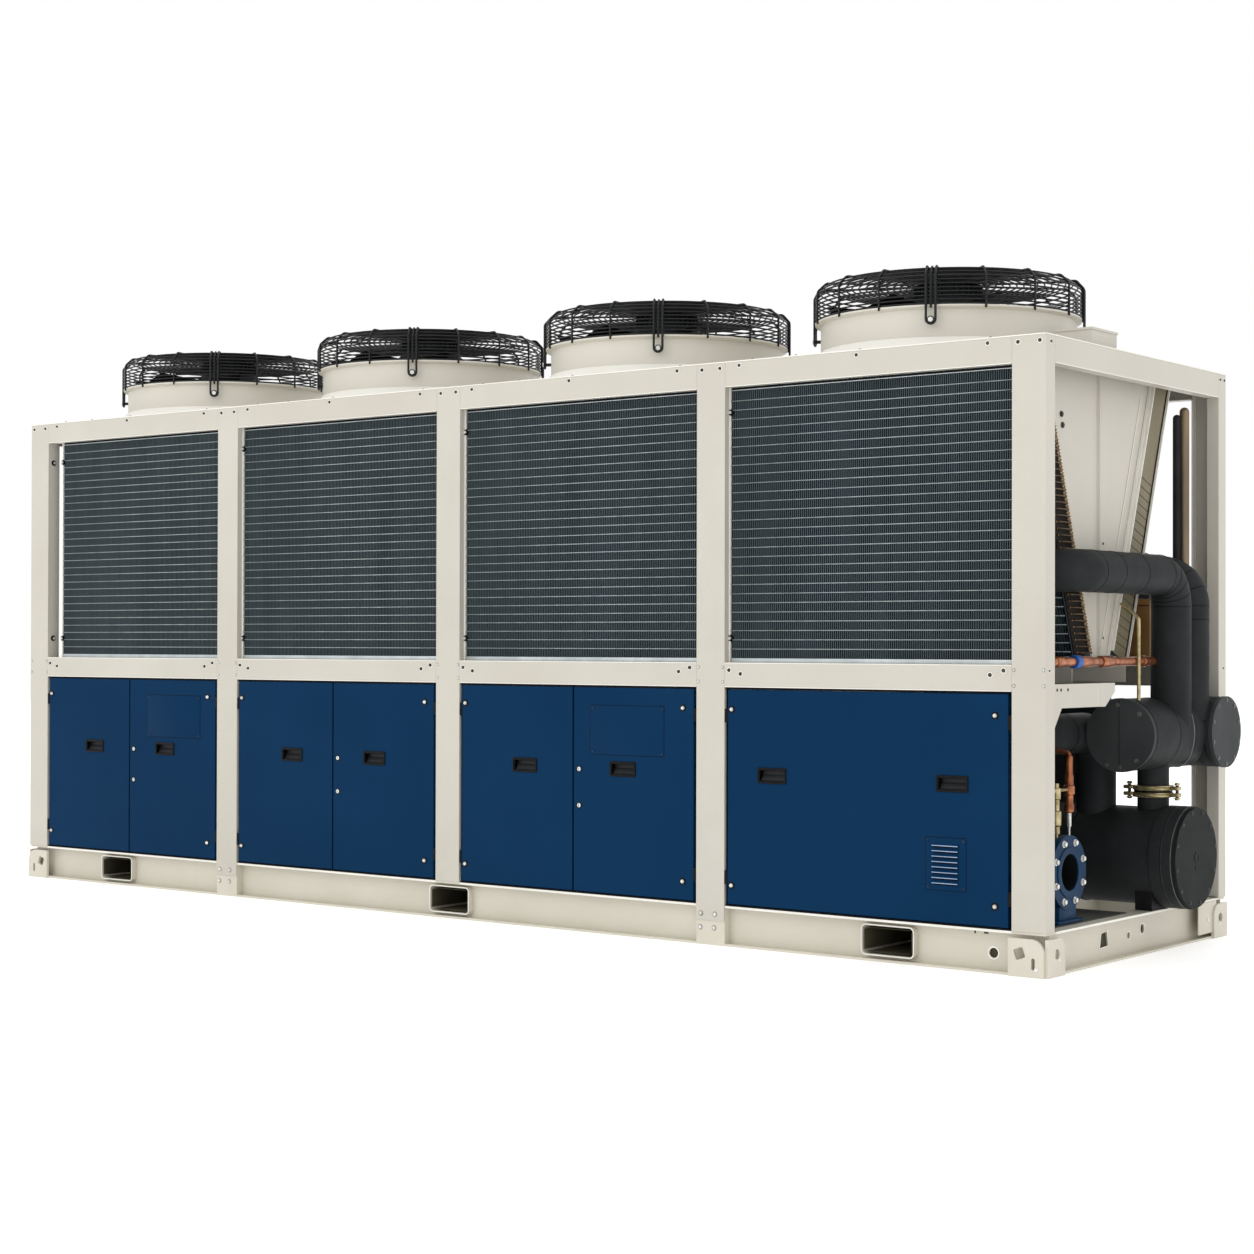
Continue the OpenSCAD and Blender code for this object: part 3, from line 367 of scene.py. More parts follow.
def fastener_tree():
    """Bolt or screw heads with a washer, one on each point, standing along the point's facing."""
    tree, given = tree_of("fasteners", {
        "Sides": "Int", "Head Radius": "Float", "Head Height": "Float", "Top Radius": "Float",
        "Washer Radius": "Float", "Washer Height": "Float"})
    head = step(tree, "GeometryNodeMeshCone", {
        "Vertices": given["Sides"], "Radius Top": given["Top Radius"], "Radius Bottom": given["Head Radius"],
        "Depth": given["Head Height"]})
    lift = step(tree, "ShaderNodeCombineXYZ", {"Z": given["Washer Height"]})
    raised = step(tree, "GeometryNodeTransform", {"Geometry": head, "Translation": lift})
    washer = step(tree, "GeometryNodeMeshCone", {
        "Vertices": 14, "Radius Top": given["Washer Radius"], "Radius Bottom": given["Washer Radius"],
        "Depth": given["Washer Height"]})
    both = tree.nodes.new("GeometryNodeJoinGeometry")
    tree.links.new(raised, both.inputs[0])
    tree.links.new(washer, both.inputs[0])
    many = copies(tree, given["Geometry"], both.outputs[0], Rotation=facing_turn(tree),
                  Scale=point_size(tree))
    return close_tree(tree, many, given)


def row_tree(name, sizes, shape, smooth=False):
    """A row of equal shapes, all turned alike. shape makes one of them from the tree and its inputs."""
    tree, given = tree_of(name, {"Count": "Int", "Start": "Vector", "Step": "Vector", **sizes,
                                 "Turn": "Vector"})
    line = line_points(tree, given["Count"], given["Start"], given["Step"])
    turn = step(tree, "FunctionNodeEulerToRotation", {"Euler": given["Turn"]})
    return close_tree(tree, copies(tree, line, shape(tree, given), Rotation=turn), given, smooth)


def flat_bar(tree, given):
    return step(tree, "GeometryNodeMeshCube", {"Size": given["Bar Size"]})


def round_rod(tree, given):
    return step(tree, "GeometryNodeMeshCylinder", {"Vertices": 8, "Radius": given["Radius"],
                                                   "Depth": given["Length"]})


def ring_stack_tree():
    """Wire rings about an upright axis, growing evenly in radius and height."""
    tree, given = tree_of("ring_stack", {
        "Count": "Int", "Centre": "Vector", "First Radius": "Float", "Radius Step": "Float",
        "Height Step": "Float", "Wire": "Float"})
    rise = step(tree, "ShaderNodeCombineXYZ", {"Z": given["Height Step"]})
    line = line_points(tree, given["Count"], given["Centre"], rise)
    index = step(tree, "GeometryNodeInputIndex")
    radius = step(tree, "ShaderNodeMath", {0: index, 1: given["Radius Step"], 2: given["First Radius"]},
                  operation="MULTIPLY_ADD")
    many = copies(tree, line, circle(tree, 1.0, 72), Scale=radius)
    real = step(tree, "GeometryNodeRealizeInstances", {"Geometry": many})
    return close_tree(tree, drawn_wire(tree, real, given["Wire"], 6, caps=False), given, smooth=True)


def wire_cage_tree():
    """One bent wire, drawn as edges beside an upright axis and repeated about it."""
    tree, given = tree_of("wire_cage", {"Count": "Int", "Centre": "Vector", "Turn": "Float", "Bend": "Float",
                                        "Wire": "Float"})
    wire = drawn_wire(tree, bent_line(tree, given, 5), given["Wire"], 6)
    spots, turn = ring_points(tree, given, given["Turn"])
    return close_tree(tree, copies(tree, spots, wire, Rotation=turn), given, smooth=True)


def tube_tree():
    """Round tubes along drawn edges, with rounded bends and closed ends."""
    tree, given = tree_of("tubes", {"Radius": "Float", "Bend": "Float", "Sides": "Int"})
    made = drawn_wire(tree, bent_line(tree, given, 8), given["Radius"], given["Sides"])
    return close_tree(tree, made, given, smooth=True)


def band_tree():
    """Thin bands round pipes: each point gives the middle, the pipe's direction and the band's radius."""
    tree, given = tree_of("bands", {"Width": "Float"})
    band = step(tree, "GeometryNodeMeshCylinder", {"Vertices": 48, "Radius": 1.0, "Depth": 1.0})
    size = point_size(tree)
    scale = step(tree, "ShaderNodeCombineXYZ", {"X": size, "Y": size, "Z": given["Width"]})
    many = copies(tree, given["Geometry"], band, Rotation=facing_turn(tree), Scale=scale)
    return close_tree(tree, many, given)


def fin_ring_tree():
    """Flat fins standing round an upright axis."""
    tree, given = tree_of("fin_ring", {"Count": "Int", "Centre": "Vector", "Radius": "Float",
                                       "Fin Size": "Vector"})
    fin = step(tree, "GeometryNodeMeshCube", {"Size": given["Fin Size"]})
    arm = step(tree, "ShaderNodeCombineXYZ", {"X": given["Radius"]})
    moved = step(tree, "GeometryNodeTransform", {"Geometry": fin, "Translation": arm})
    spots, turn = ring_points(tree, given)
    return close_tree(tree, copies(tree, spots, moved, Rotation=turn), given)


FASTENERS, RING_STACK, WIRE_CAGE = fastener_tree(), ring_stack_tree(), wire_cage_tree()
BAR_ROW = row_tree("bar_row", {"Bar Size": "Vector"}, flat_bar)
ROD_ROW = row_tree("rod_row", {"Radius": "Float", "Length": "Float"}, round_rod, smooth=True)
TUBES, BANDS, FIN_RING = tube_tree(), band_tree(), fin_ring_tree()


def spots_mesh(spots):
    """Points for a tree: (place, facing, size)."""
    mesh = bpy.data.meshes.new("spots")
    mesh.from_pydata([s[0] for s in spots], [], [])
    facing = mesh.attributes.new("facing", "FLOAT_VECTOR", "POINT")
    facing.data.foreach_set("vector", [c for s in spots for c in s[1]])
    size = mesh.attributes.new("size", "FLOAT", "POINT")
    size.data.foreach_set("value", [float(s[2]) for s in spots])
    return mesh


def lines_mesh(lines):
    """Edges for a tree: lists of points."""
    points, edges = [], []
    for line in lines:
        edges += [(len(points) + k, len(points) + k + 1) for k in range(len(line) - 1)]
        points += [tuple(p) for p in line]
    mesh = bpy.data.meshes.new("lines")
    mesh.from_pydata(points, edges, [])
    return mesh


def grown(tree, start, sizes, finish):
    """The plain mesh that a tree makes of a start mesh and its sizes."""
    holder = bpy.data.objects.new("holder", start or bpy.data.meshes.new("empty"))
    scene.collection.objects.link(holder)
    shape = holder.modifiers.new("shape", "NODES")
    shape.node_group = tree
    key = {s.name: s.identifier for s in tree.interface.items_tree if s.in_out == "INPUT"}
    for label, value in sizes.items():
        shape[key[label]] = value
    shape[key["Material"]] = finish
    depsgraph = bpy.context.evaluated_depsgraph_get()
    mesh = bpy.data.meshes.new_from_object(holder.evaluated_get(depsgraph))
    mesh.materials.clear()
    mesh.materials.append(finish)
    holder.modifiers.remove(shape)
    bpy.data.objects.remove(holder)
    return mesh


def spots_at(points, facing, size=1.0):
    """Fasteners of one facing and size on points given as in the source."""
    return [(place(*p), facing, size) for p in points]


def rim_spots(centre, axis, radius, count, start=0.0, size=1.0):
    """Even places on a circle about an axis, for fasteners that stand along it."""
    turn = Vector(axis).to_track_quat("Z", "Y").to_matrix()
    middle = place(*centre)
    return [(middle + turn @ Vector((math.cos(a), math.sin(a), 0)) * radius * MM, axis, size)
            for a in (start + math.tau * k / count for k in range(count))]


def bolts(spots, finish, radius=9.0, height=6.0, sides=6, top=0.92, washer=1.5, washer_height=1.6):
    """Fasteners on spots. top and washer are shares of the head's radius."""
    return grown(FASTENERS, spots_mesh(spots), {
        "Sides": sides, "Head Radius": radius * MM, "Head Height": height * MM,
        "Top Radius": radius * top * MM, "Washer Radius": radius * washer * MM,
        "Washer Height": washer_height * MM}, finish)


def washer_and_halo_rings(spots, finish, radius):
    """Thin round rings under fasteners: dark ones are washers, bright ones are painted highlight round a
    head.
    """
    return bolts(spots, finish, radius, 0.2, 16, 1.0, 1.0, 0.3)


def catch_heads(spots, ring=(2.0, 1.0), head=(5.2, 2.0)):
    """Bright quarter-turn heads on dark rings. ring and head give the height and the washer's height."""
    return [bolts(spots, PLASTIC, 10, ring[0], 16, 0.94, 1.35, ring[1]),
            bolts(spots, ZINC, 8.2, head[0], 12, 0.66, 1.0, head[1])]


def bars(count, start, stride, size, finish, turn=(0.0, 0.0, 0.0)):
    """Row of flat bars, all turned alike."""
    return grown(BAR_ROW, None, {"Count": count, "Start": place(*start), "Step": Vector(stride) * MM,
                                 "Bar Size": Vector(size) * MM, "Turn": turn}, finish)


def bar(middle, size, finish, turn):
    return bars(1, middle, (0, 0, 0), size, finish, turn)


def rods(count, start, stride, radius, length, finish):
    """Level rods along X."""
    return grown(ROD_ROW, None, {"Count": count, "Start": place(*start), "Step": Vector(stride) * MM,
                                 "Radius": radius * MM, "Length": length * MM, "Turn": ALONG_X}, finish)


def tubes(lines, radius, finish, bend=0.0, sides=12):
    drawn = [[place(*p) for p in line] for line in lines]
    return grown(TUBES, lines_mesh(drawn), {"Radius": radius * MM, "Bend": bend * MM, "Sides": sides}, finish)


def bands(spots, width, finish):
    """spots: (place, direction, radius) in millimetres."""
    points = [(place(*p), d, r * MM) for p, d, r in spots]
    return grown(BANDS, spots_mesh(points), {"Width": width * MM}, finish)


def ring_stack(count, centre, radius, radius_step, height_step, wire):
    return grown(RING_STACK, None, {"Count": count, "Centre": place(*centre), "First Radius": radius * MM,
                                    "Radius Step": radius_step * MM, "Height Step": height_step * MM,
                                    "Wire": wire * MM}, GUARD)


def wire_cage(count, centre, turn, line, bend, wire):
    """line: (out from the axis, aside, height) in millimetres."""
    drawn = [[c * MM for c in point] for point in line]
    return grown(WIRE_CAGE, lines_mesh([drawn]), {"Count": count, "Centre": place(*centre, 0), "Turn": turn,
                                                  "Bend": bend * MM, "Wire": wire * MM}, GUARD)


# Shapes made by hand

def mesh_of(bm, name):
    mesh = bpy.data.meshes.new(name)
    bm.to_mesh(mesh)
    bm.free()
    return mesh


def shaped(build, finish, smooth_under=None):
    """Plain mesh from a function that fills a bmesh in the shared frame."""
    bm = bmesh.new()
    build(bm)
    bmesh.ops.recalc_face_normals(bm, faces=bm.faces)
    mesh = mesh_of(bm, "shape")
    mesh.materials.append(finish)
    if smooth_under:
        mesh.shade_smooth()
        mesh.set_sharp_from_angle(angle=math.radians(smooth_under))
    return mesh


def add_box(bm, low, high, edge=0.0):
    """Box between two corners given as in the source, with its edges broken by a small chamfer."""
    low, high = place(*low), place(*high)
    made = bmesh.ops.create_cube(bm, size=1.0)["verts"]
    for v in made:
        v.co = Vector(low[k] + (v.co[k] + 0.5) * (high[k] - low[k]) for k in range(3))
    if edge:
        edges = list({e for v in made for e in v.link_edges})
        bmesh.ops.bevel(bm, geom=edges, offset=edge * MM, segments=2, profile=0.5, affect="EDGES")


def boxes(list_of, finish, edge=0.0):
    def build(bm):
        for low, high in list_of:
            add_box(bm, low, high, edge)
    return shaped(build, finish, 30 if edge else None)


def add_prism(bm, x0, x1, outline):
    """Solid between two X whose closed outline is (y, z)."""
    rows = [[bm.verts.new(place(x, y, z)) for x in (x0, x1)] for y, z in outline]
    for a, b in zip(rows, rows[1:] + rows[:1]):
        bm.faces.new((a[0], a[1], b[1], b[0]))
    for s in (0, 1):
        bm.faces.new([r[s] for r in rows])


def turned(profile, centre, axis, finish, segments=64):
    """Lathe: profile is (radius, distance along the axis) in millimetres, from the axis or a closed ring."""
    turn = Vector(axis).normalized().to_track_quat("Z", "Y").to_matrix().to_4x4()
    seat = Matrix.Translation(place(*centre)) @ turn
    angles = [math.tau * k / segments for k in range(segments)]

    def build(bm):
        rows = []
        for r, d in profile:
            if r < 1e-6:
                rows.append([bm.verts.new(seat @ Vector((0, 0, d * MM)))])
                continue
            rows.append([bm.verts.new(seat @ Vector((r * MM * math.cos(a), r * MM * math.sin(a), d * MM)))
                         for a in angles])
        for one, two in zip(rows, rows[1:]):
            for k in range(segments):
                n = (k + 1) % segments
                face = [one[k % len(one)], one[n % len(one)], two[n % len(two)], two[k % len(two)]]
                bm.faces.new(list(dict.fromkeys(face)))
    return shaped(build, finish, 35)


def round_frame(centre, width, height, radius):
    """Closed upright line of a rectangle with round corners, facing the front."""
    points = []
    for k, (sx, sz) in enumerate(((1, 1), (-1, 1), (-1, -1), (1, -1))):
        for n in range(6):
            a = k * math.pi / 2 + n * math.pi / 10
            u = sx * (width / 2 - radius) + radius * math.cos(a)
            w = sz * (height / 2 - radius) + radius * math.sin(a)
            points.append((centre[0] + u, centre[1], centre[2] + w))
    return points + [points[0]]


def piece(name, parts, body="chassis", stands_for=()):
    """Joins plain meshes into one object at the origin that rides on a body."""
    bm = bmesh.new()
    finishes = []
    for mesh in parts:
        coat = mesh.materials[0]
        if coat not in finishes:
            finishes.append(coat)
        mesh.polygons.foreach_set("material_index", [finishes.index(coat)] * len(mesh.polygons))
        bm.from_mesh(mesh)
        bpy.data.meshes.remove(mesh)
    whole = mesh_of(bm, name)
    for coat in finishes:
        whole.materials.append(coat)
    made = bpy.data.objects.new(name, whole)
    scene.collection.objects.link(made)
    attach(made, body)
    if stands_for:
        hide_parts(*stands_for)
    return made


# Changed copies of solids

def copied(node):
    """The mesh of a solid with its doubled corners merged."""
    bm = bmesh.new()
    bm.from_mesh(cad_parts[node].data)
    bmesh.ops.remove_doubles(bm, verts=bm.verts, dist=1e-5)
    return bm


def rounded(node, body, finish, width=1.6, fit=None):
    """Copy of a solid whose folded edges are slightly rounded, shown in its place."""
    bm = copied(node)
    if fit:
        fit(bm)
    bmesh.ops.dissolve_limit(bm, angle_limit=math.radians(0.5), verts=bm.verts, edges=bm.edges)
    sharp = math.radians(50.0)
    folds = [e for e in bm.edges if len(e.link_faces) == 2 and e.calc_face_angle(0.0) > sharp]
    bmesh.ops.bevel(bm, geom=folds, offset=width * MM, segments=2, profile=0.5, affect="EDGES")
    mesh = mesh_of(bm, node)
    mesh.materials.append(finish)
    piece(f"{node}_rounded", [mesh], body, (node,))


def shallow_return(bm):
    """Draws back the inner fold of the two rear corner posts."""
    for v in bm.verts:
        x, y = abs(v.co.x / MM - SHIFT_X), v.co.y / MM - SHIFT_Y
        if END - POST - 1 < x < END - POST + LIP + 1 and y < DEPTH - POST_D / 2:
            v.co.y += (POST_D - CORNER_RETURN) * MM


def rounded_solids():
    """Frame, panels and leaves with softened folds, in place of their solids."""
    for node in ("front_posts", "front_rails", "rear_rails", "end_rails"):
        rounded(node, "chassis", CREAM)
    rounded("rear_posts", "chassis", CREAM, fit=shallow_return)
    for node in ("service_panel", "rear_panels", "left_end_panel"):
        rounded(node, "chassis", BLUE, 1.2)
    for n in (1, 2, 3):
        for word in ("left", "right"):
            rounded(f"door_{n}_{word}", f"door_{n}_{word}_leaf", BLUE, 0.9)


# Fans

def fans():
    """Basket guards of fine wire, with slanted shoulders, in place of the coarse solid ones."""
    low, high, count = COWL_TOP + 4, GUARD_TOP - 40, 8
    over, flat, shoulder, foot = GUARD_TOP - 5, GUARD_TOP - 11, GUARD_TOP - 36, 2192
    rib = [(110, 0, over), (452, 0, over), (485.5, 0, shoulder), (485.5, 0, COWL_TOP - 12)]
    half = [(400, over), (462, over), (490, shoulder), (490, foot)]
    strap = [(r, -16.5, z) for r, z in half] + [(r, 16.5, z) for r, z in reversed(half)]
    disc = [(0, GUARD_TOP - 5), (100, GUARD_TOP - 5), (128, GUARD_TOP - 7), (132, GUARD_TOP - 10),
            (130, GUARD_TOP - 13), (0, GUARD_TOP - 13)]
    stands_for = {0: ("fan_guards_left",), 2: ("fan_guards_right",)}
    for i in range(BAYS):
        centre, turn = (bay_x(i), FAN_Y), math.radians(GUARD_TURN[i])
        piece(f"fan_guard_wires_{i + 1}", [
            ring_stack(count, (*centre, low), 481, 0, (high - low) / (count - 1), 3.2),
            ring_stack(2, (*centre, flat), 449, 17, -14, 3.2),
            ring_stack(12, (*centre, flat), 150, 24.8, 0, 3.0),
            wire_cage(16, centre, turn, rib, 20, 4.2),
            wire_cage(4, centre, turn, strap, 16, 4.5),
            turned(disc, (*centre, 0), UP, GUARD),
        ], stands_for=stands_for.get(i, ()))
        fan_fixings(i, centre, turn)
        fan_blades(i)


def fan_fixings(i, centre, turn):
    """Bolts of one guard, motor and cowl, the motor's cooling fins and the cowl's skirt."""
    straps = []
    for k in range(4):
        out = Vector((math.cos(turn + k * math.pi / 2), math.sin(turn + k * math.pi / 2), 0))
        straps.append((place(*centre, 2206) + out * 0.4615, out, 1.0))
    disc = rim_spots((*centre, GUARD_TOP - 5), UP, 85, 4, turn + 0.4, 0.8)
    foot = rim_spots((*centre, TOP + SHEET), UP, 508, 12, 0.13)
    skirt = turned([(463, 2150), (470, 2146), (486, 2126), (502, 2108), (502, 2104.4), (463, 2104.4),
                    (463, 2150)], (*centre, 0), UP, SKIRT, 96)
    fins = grown(FIN_RING, None, {"Count": 30, "Centre": place(*centre, (MOTOR_LOW + MOTOR_HIGH) / 2),
                                  "Radius": 116 * MM,
                                  "Fin Size": Vector((18, 3, MOTOR_HIGH - MOTOR_LOW - 6)) * MM}, MOTOR)
    piece(f"fan_bolts_{i + 1}", [
        bolts(straps, GUARD, 13, 2.5, 20, 1.0, 0.5, 29), bolts(straps, ZINC, 10, 6, 6, 0.9, 0.6, 31.5),
        bolts(disc, DARK_BOLT, 8, 3, washer=1.2), bolts(foot, ZINC, 6, 4, washer=1.3), fins, skirt])


def fan_blades(i):
    """Rotor with the blades laid flatter than the plain solid's, so that light passes over them."""
    bm = copied(f"fan_rotor_{i + 1}")
    middle = place(bay_x(i), FAN_Y, HUB_MID)
    for v in bm.verts:
        out = (v.co.xy - middle.xy).length / MM
        if out > HUB_R + 1:
            v.co.z = middle.z + (v.co.z - middle.z) * BLADE_LAY - BLADE_DROP * MM
    mesh = mesh_of(bm, "rotor")
    mesh.materials.append(BLADE)
    piece(f"fan_blades_{i + 1}", [mesh], f"fan_{i + 1}", (f"fan_rotor_{i + 1}",))


# Front grilles and coils

def front_grilles():
    """Upright fins behind level rods, with a pale edge tube below and a folded edge above; a dark box behind
    the fins and a dark strip at the right edge are painted shadow, and a bright strip at the left flank is
    painted highlight.
    """
    pitch, low, high = 8.4, MID, TOP - RAIL
    first_rod, rod_step, rod_count = 1069.0, 33.1, 28
    parts, studs = [], []
    for i in range(BAYS):
        x0, x1 = bay_sides(i)
        x0 += GRILLE_STRIP if i == 0 else 0
        middle, width = (x0 + x1) / 2, x1 - x0
        count = int((width - 24) / pitch) + 1
        first = middle - (count - 1) * pitch / 2
        parts += [
            # Dark box behind the fins: painted shadow.
            boxes([((x0, 37, low), (x1, 40, high))], FIN_PAINTED_SHADOW),
            bars(count, (first, 34, (low + high) / 2), (pitch, 0, 0), (3.0, 6, high - low - 26), FINS),
            rods(rod_count, (middle, 30, first_rod), (0, 0, rod_step), 1.9, width - 14, ROD),
            boxes([((x0 + 9, 29, low), (x1 - 12, 37, low + 16)),
                   ((x0 + 6, 29, high - 12), (x1 - 6, 37, high - 9))], EDGE_TUBE, 1.2),
            # Bright strip at the left flank: painted highlight; dark strip at the right edge: painted shadow.
            boxes([((x0, 28, low), (x0 + 5, 40, high))], CREAM_HIGHLIGHT),
            boxes([((x1 - 4, 29, low), (x1, 40, high))], FIN_PAINTED_SHADOW),
        ]
        left = x0 + (6 if i else 4)
        studs += spots_at([(x, 30, z) for x in (left, x1 - 6) for z in STUD_HEIGHTS], FRONT)
    piece("grille_fins", parts, stands_for=("front_grilles",))
    studs += spots_at([(bay_sides(0)[0], 30, z) for z in STUD_HEIGHTS], RIGHT)
    piece("grille_studs", [bolts(studs, PLASTIC, 11, 4, 16, 0.92, 1.2, 1.2), bolts(studs, ZINC, 6.5, 8, 6)])


def coil_faces():
    """Rods and fins on the outer faces of the V, which show at the end and from the rear."""
    pitch, rows = 11.0, 33
    parts = []
    for side in (-1, 1):
        middle_y = V_MID + side * (V_LOW + V_TOP) / 2
        out = Vector((0, side * math.cos(SLOPE), -math.sin(SLOPE)))
        up = Vector((0, side * math.sin(SLOPE), math.cos(SLOPE)))
        for i in range(BAYS):
            x0 = -COIL_END if i == 0 else post_x(i) + 2
            x1 = COIL_END if i == BAYS - 1 else post_x(i + 1) - 2
            first = Vector((x0 + 10, middle_y, COIL_MID)) + out * 1.0
            count = int((x1 - x0 - 20) / pitch) + 1
            fin = (2.6, 6, COIL_RISE - 6)
            parts.append(bars(count, first, (pitch, 0, 0), fin, FINS, (-side * SLOPE, 0, 0)))
            middle = Vector(((x0 + x1) / 2, middle_y, COIL_MID))
            start = middle + out * 6.0 - up * (COIL_RISE / 2 - 20)
            parts.append(rods(rows, start, up * (COIL_RISE - 40) / (rows - 1), 2.2, x1 - x0 - 8, ROD))
    piece("coil_face_fins", parts)


def arm_line(side, share, t, end, out=0.0):
    """Point on an end of an arm of the V: share of its thickness from inside, t of its slope from below."""
    up = Vector((0, side * math.sin(SLOPE), math.cos(SLOPE)))
    inner = V_MID + side * (V_LOW - COIL_ACROSS * (1 - share))
    return Vector((end * (COIL_END + out), inner, COIL_LOW)) + up * COIL_RISE * t


def coil_ends():
    """At both ends of the V, a ladder of tube bends on the front arm and a channel on the rear arm. The front
    arm's near black end plate and the dark strips inside the channel's edges are painted shade, the channel
    is cream painted in shade, and its bright edges are painted highlight.
    """
    steps, rungs, tall = 46, 20, COIL_RISE - 2
    outward, lean = Vector((0, math.cos(SLOPE), -math.sin(SLOPE))), (-SLOPE, 0, 0)
    loops, beads, plates = [], [], []
    for end in (1, -1):
        facing, reach = (end, 0, 0), Vector((end * 13, 0, 0))
        for k in range(steps):
            t = (k + 0.6) / (steps + 0.2)
            a, b = arm_line(-1, 0.12, t, end, 3), arm_line(-1, 0.84, t, end, 3)
            loops.append([a, a + reach, b + reach, b])
            beads += spots_at([b + reach * 0.3], facing, 0.55)
            for half in (0.0, 0.5):
                t = (k + 0.6 + half) / (steps + 0.2)
                beads += spots_at([arm_line(-1, 0.03, t, end, 10)], facing, 0.75)
                beads += spots_at([arm_line(-1, 0.17, t, end, 12)], facing, 0.6)
                beads += spots_at([arm_line(1, 1.16, t, end, -5)], outward, 0.6)
        front = (arm_line(-1, 0, 0.5, end, 2) + arm_line(-1, 1, 0.5, end, 2)) / 2
        rear = (arm_line(1, 0, 0.5, end, 5) + arm_line(1, 1, 0.5, end, 5)) / 2
        # Painted shade: a near black plate on the front arm's end and a shaded cream channel on the rear arm.
        plates.append(bar(front, (4, COIL_T, tall), ARM_BROWN, (SLOPE, 0, 0)))
        plates.append(bar(rear, (4, COIL_T + 4, tall), CREAM_IN_SHADE, lean))
        # Bright strips along the channel's edges are painted highlight, and the dark strips just inside them
        # are painted shade.
        for s in (-1, 1):
            plates.append(bar(rear + outward * s * (COIL_T / 2 + 4), (24, 4, tall), CREAM_HIGHLIGHT, lean))
            plates.append(bar(rear + outward * s * (COIL_T / 2 - 2), (8, 7, tall), ARM_BROWN, lean))
        first, last = arm_line(1, 0.5, 0.04, end, 7.4), arm_line(1, 0.5, 0.62, end, 7.4)
        stride = (last - first) / (rungs - 1)
        plates.append(bars(rungs, first, stride, (1.2, COIL_T - 12, 1.4), ARM_BROWN, lean))
    piece("coil_return_bends", [tubes(loops, 2.6, BEND_DARK, 6, 6),
                                bolts(beads, BEND_COPPER, 6.5, 5, 10, 0.7, 1.0, 2)])
    piece("coil_end_channels", plates)


def v_panel_details():
    """Folded edges and one shallow fold drawn as bright strips, painted highlight where they catch the light,
    and screws on the sheets that close the V.
    """
    low, high = V_LOW - COIL_ACROSS - 11, V_TOP - COIL_ACROSS - 11
    parts = []
    for end in (1, -1):
        for side in (-1, 1):
            middle = (end * (PANEL_FACE + 5), V_MID + side * (low + high) / 2, COIL_MID)
            parts.append(bar(middle, (12, 3, COIL_RISE - 2), CREAM_HIGHLIGHT, (-side * SLOPE, 0, 0)))
        face = end * PANEL_FACE
        fold = (face, V_MID + (low + high) / 2 - 62, COIL_MID - 20)
        parts.append(bar(fold, (0.9, 3, COIL_RISE - 120), CREAM_HIGHLIGHT, (-SLOPE, 0, 0)))
        spots = spots_at([(face, 352, 1874), (face, 360, 1837)], (end, 0, 0), 0.9)
        dots = spots_at([(face, 668, 1443), (face, 668, 1111)], (end, 0, 0), 0.4)
        parts.append(bolts(spots + dots, DARK_BOLT, 8, 4, 6))
    piece("coil_end_panel_details", parts)


# Frame

def frame_bolts():
    """Bolts of rails, posts, deck and base: dark ones on bright rings, which are painted highlight round
    their heads, and bright ones on dark rings.
    """
    deck = TOP + SHEET
    dark, bright = [], []
    for y, facing, sign in ((0.0, FRONT, 1), (DEPTH, BACK, -1)):
        for i in range(BAYS):
            left, right = bay_sides(i)
            middle = left + 0.48 * CLEAR
            dark += spots_at([(left + 20, y, 993), (left + 70, y, 980), (right - 30, y, 1001),
                              (right - 80, y, 986)], facing, 0.8)
            dark += spots_at([(x, y, 2086) for x in (left + 62, middle, right - 90)], facing, 0.72)
            across = (left + 110, left + 297, middle + 6, right - 86)
            dark += spots_at([(x, y + sign * 14, deck) for x in across], UP, 0.72)
        for i in range(BAYS + 1):
            x = post_x(i)
            dark += spots_at([(x - 40, y, 2081), (x + 40, y, 2081)], facing, 0.75)
            bright += spots_at([(x + s, y, z) for s in (-54, 54) for z in (1003, 951)], facing, 0.5)
            if i in (1, 3):
                for s in (-40, 22):
                    bright += spots_at([(x + s, y, 112), (x + s - 6, y + sign * 4, 62)], facing, 0.8)
    for x, facing in ((END, RIGHT), (-END, LEFT)):
        dark += spots_at([(x, y, 2079) for y in (34, 1387, 1424)], facing, 0.6)
        dark += spots_at([(x, y, 1001) for y in (24, 1416)], facing, 0.45)
        dark += spots_at([(x - facing[0] * 14, y, deck) for y in (220, 286, 720, 1220)], UP, 0.7)
    piece("frame_bolts", [
        washer_and_halo_rings(dark, CREAM_HIGHLIGHT, 13), bolts(dark, DARK_BOLT, 8, 4.4, washer=1.1, washer_height=1.2),
        washer_and_halo_rings(bright, DARK_BOLT, 12), bolts(bright, ZINC, 8, 4.4, washer=1.2, washer_height=1.2)])


def lit_edges():
    """Painted highlights: bright strips along the edges of the deck, the rails, a post and the base beams,
    where they catch the light.
    """
    strips = [((-END + 1, -0.3, TOP + 0.5), (END - 1, 3.0, TOP + 4.4)),
              ((END - 3, 2, TOP + 0.5), (END + 0.3, DEPTH - 2, TOP + 4.4)),
              ((END - 1.5, 66, TOP - RAIL - 0.3), (END + 0.3, DEPTH - 66, TOP - RAIL + 2.2)),
              ((END - SHEET - 3, 82, BASE - 8), (END - SHEET + 0.3, DEPTH - 82, BASE - 0.4)),
              ((END - POST - 0.3, DEPTH - CORNER_RETURN - 0.4, BASE + 6),
               (END - POST + 7, DEPTH - CORNER_RETURN + 1, TOP - RAIL))]
    for i in range(BAYS):
        left, right = bay_sides(i)
        for z in (TOP - RAIL, MID - 2.4, MID - RAIL):
            strips.append(((left + 1, -0.3, z - 0.2), (right - 1, 1.0, z + 2.4)))
        strips.append(((left + 1, SHEET - 0.3, BASE - 8), (right - 1, SHEET + 2, BASE - 0.4)))
    piece("painted_edge_highlights", [boxes(strips, CREAM_HIGHLIGHT)])


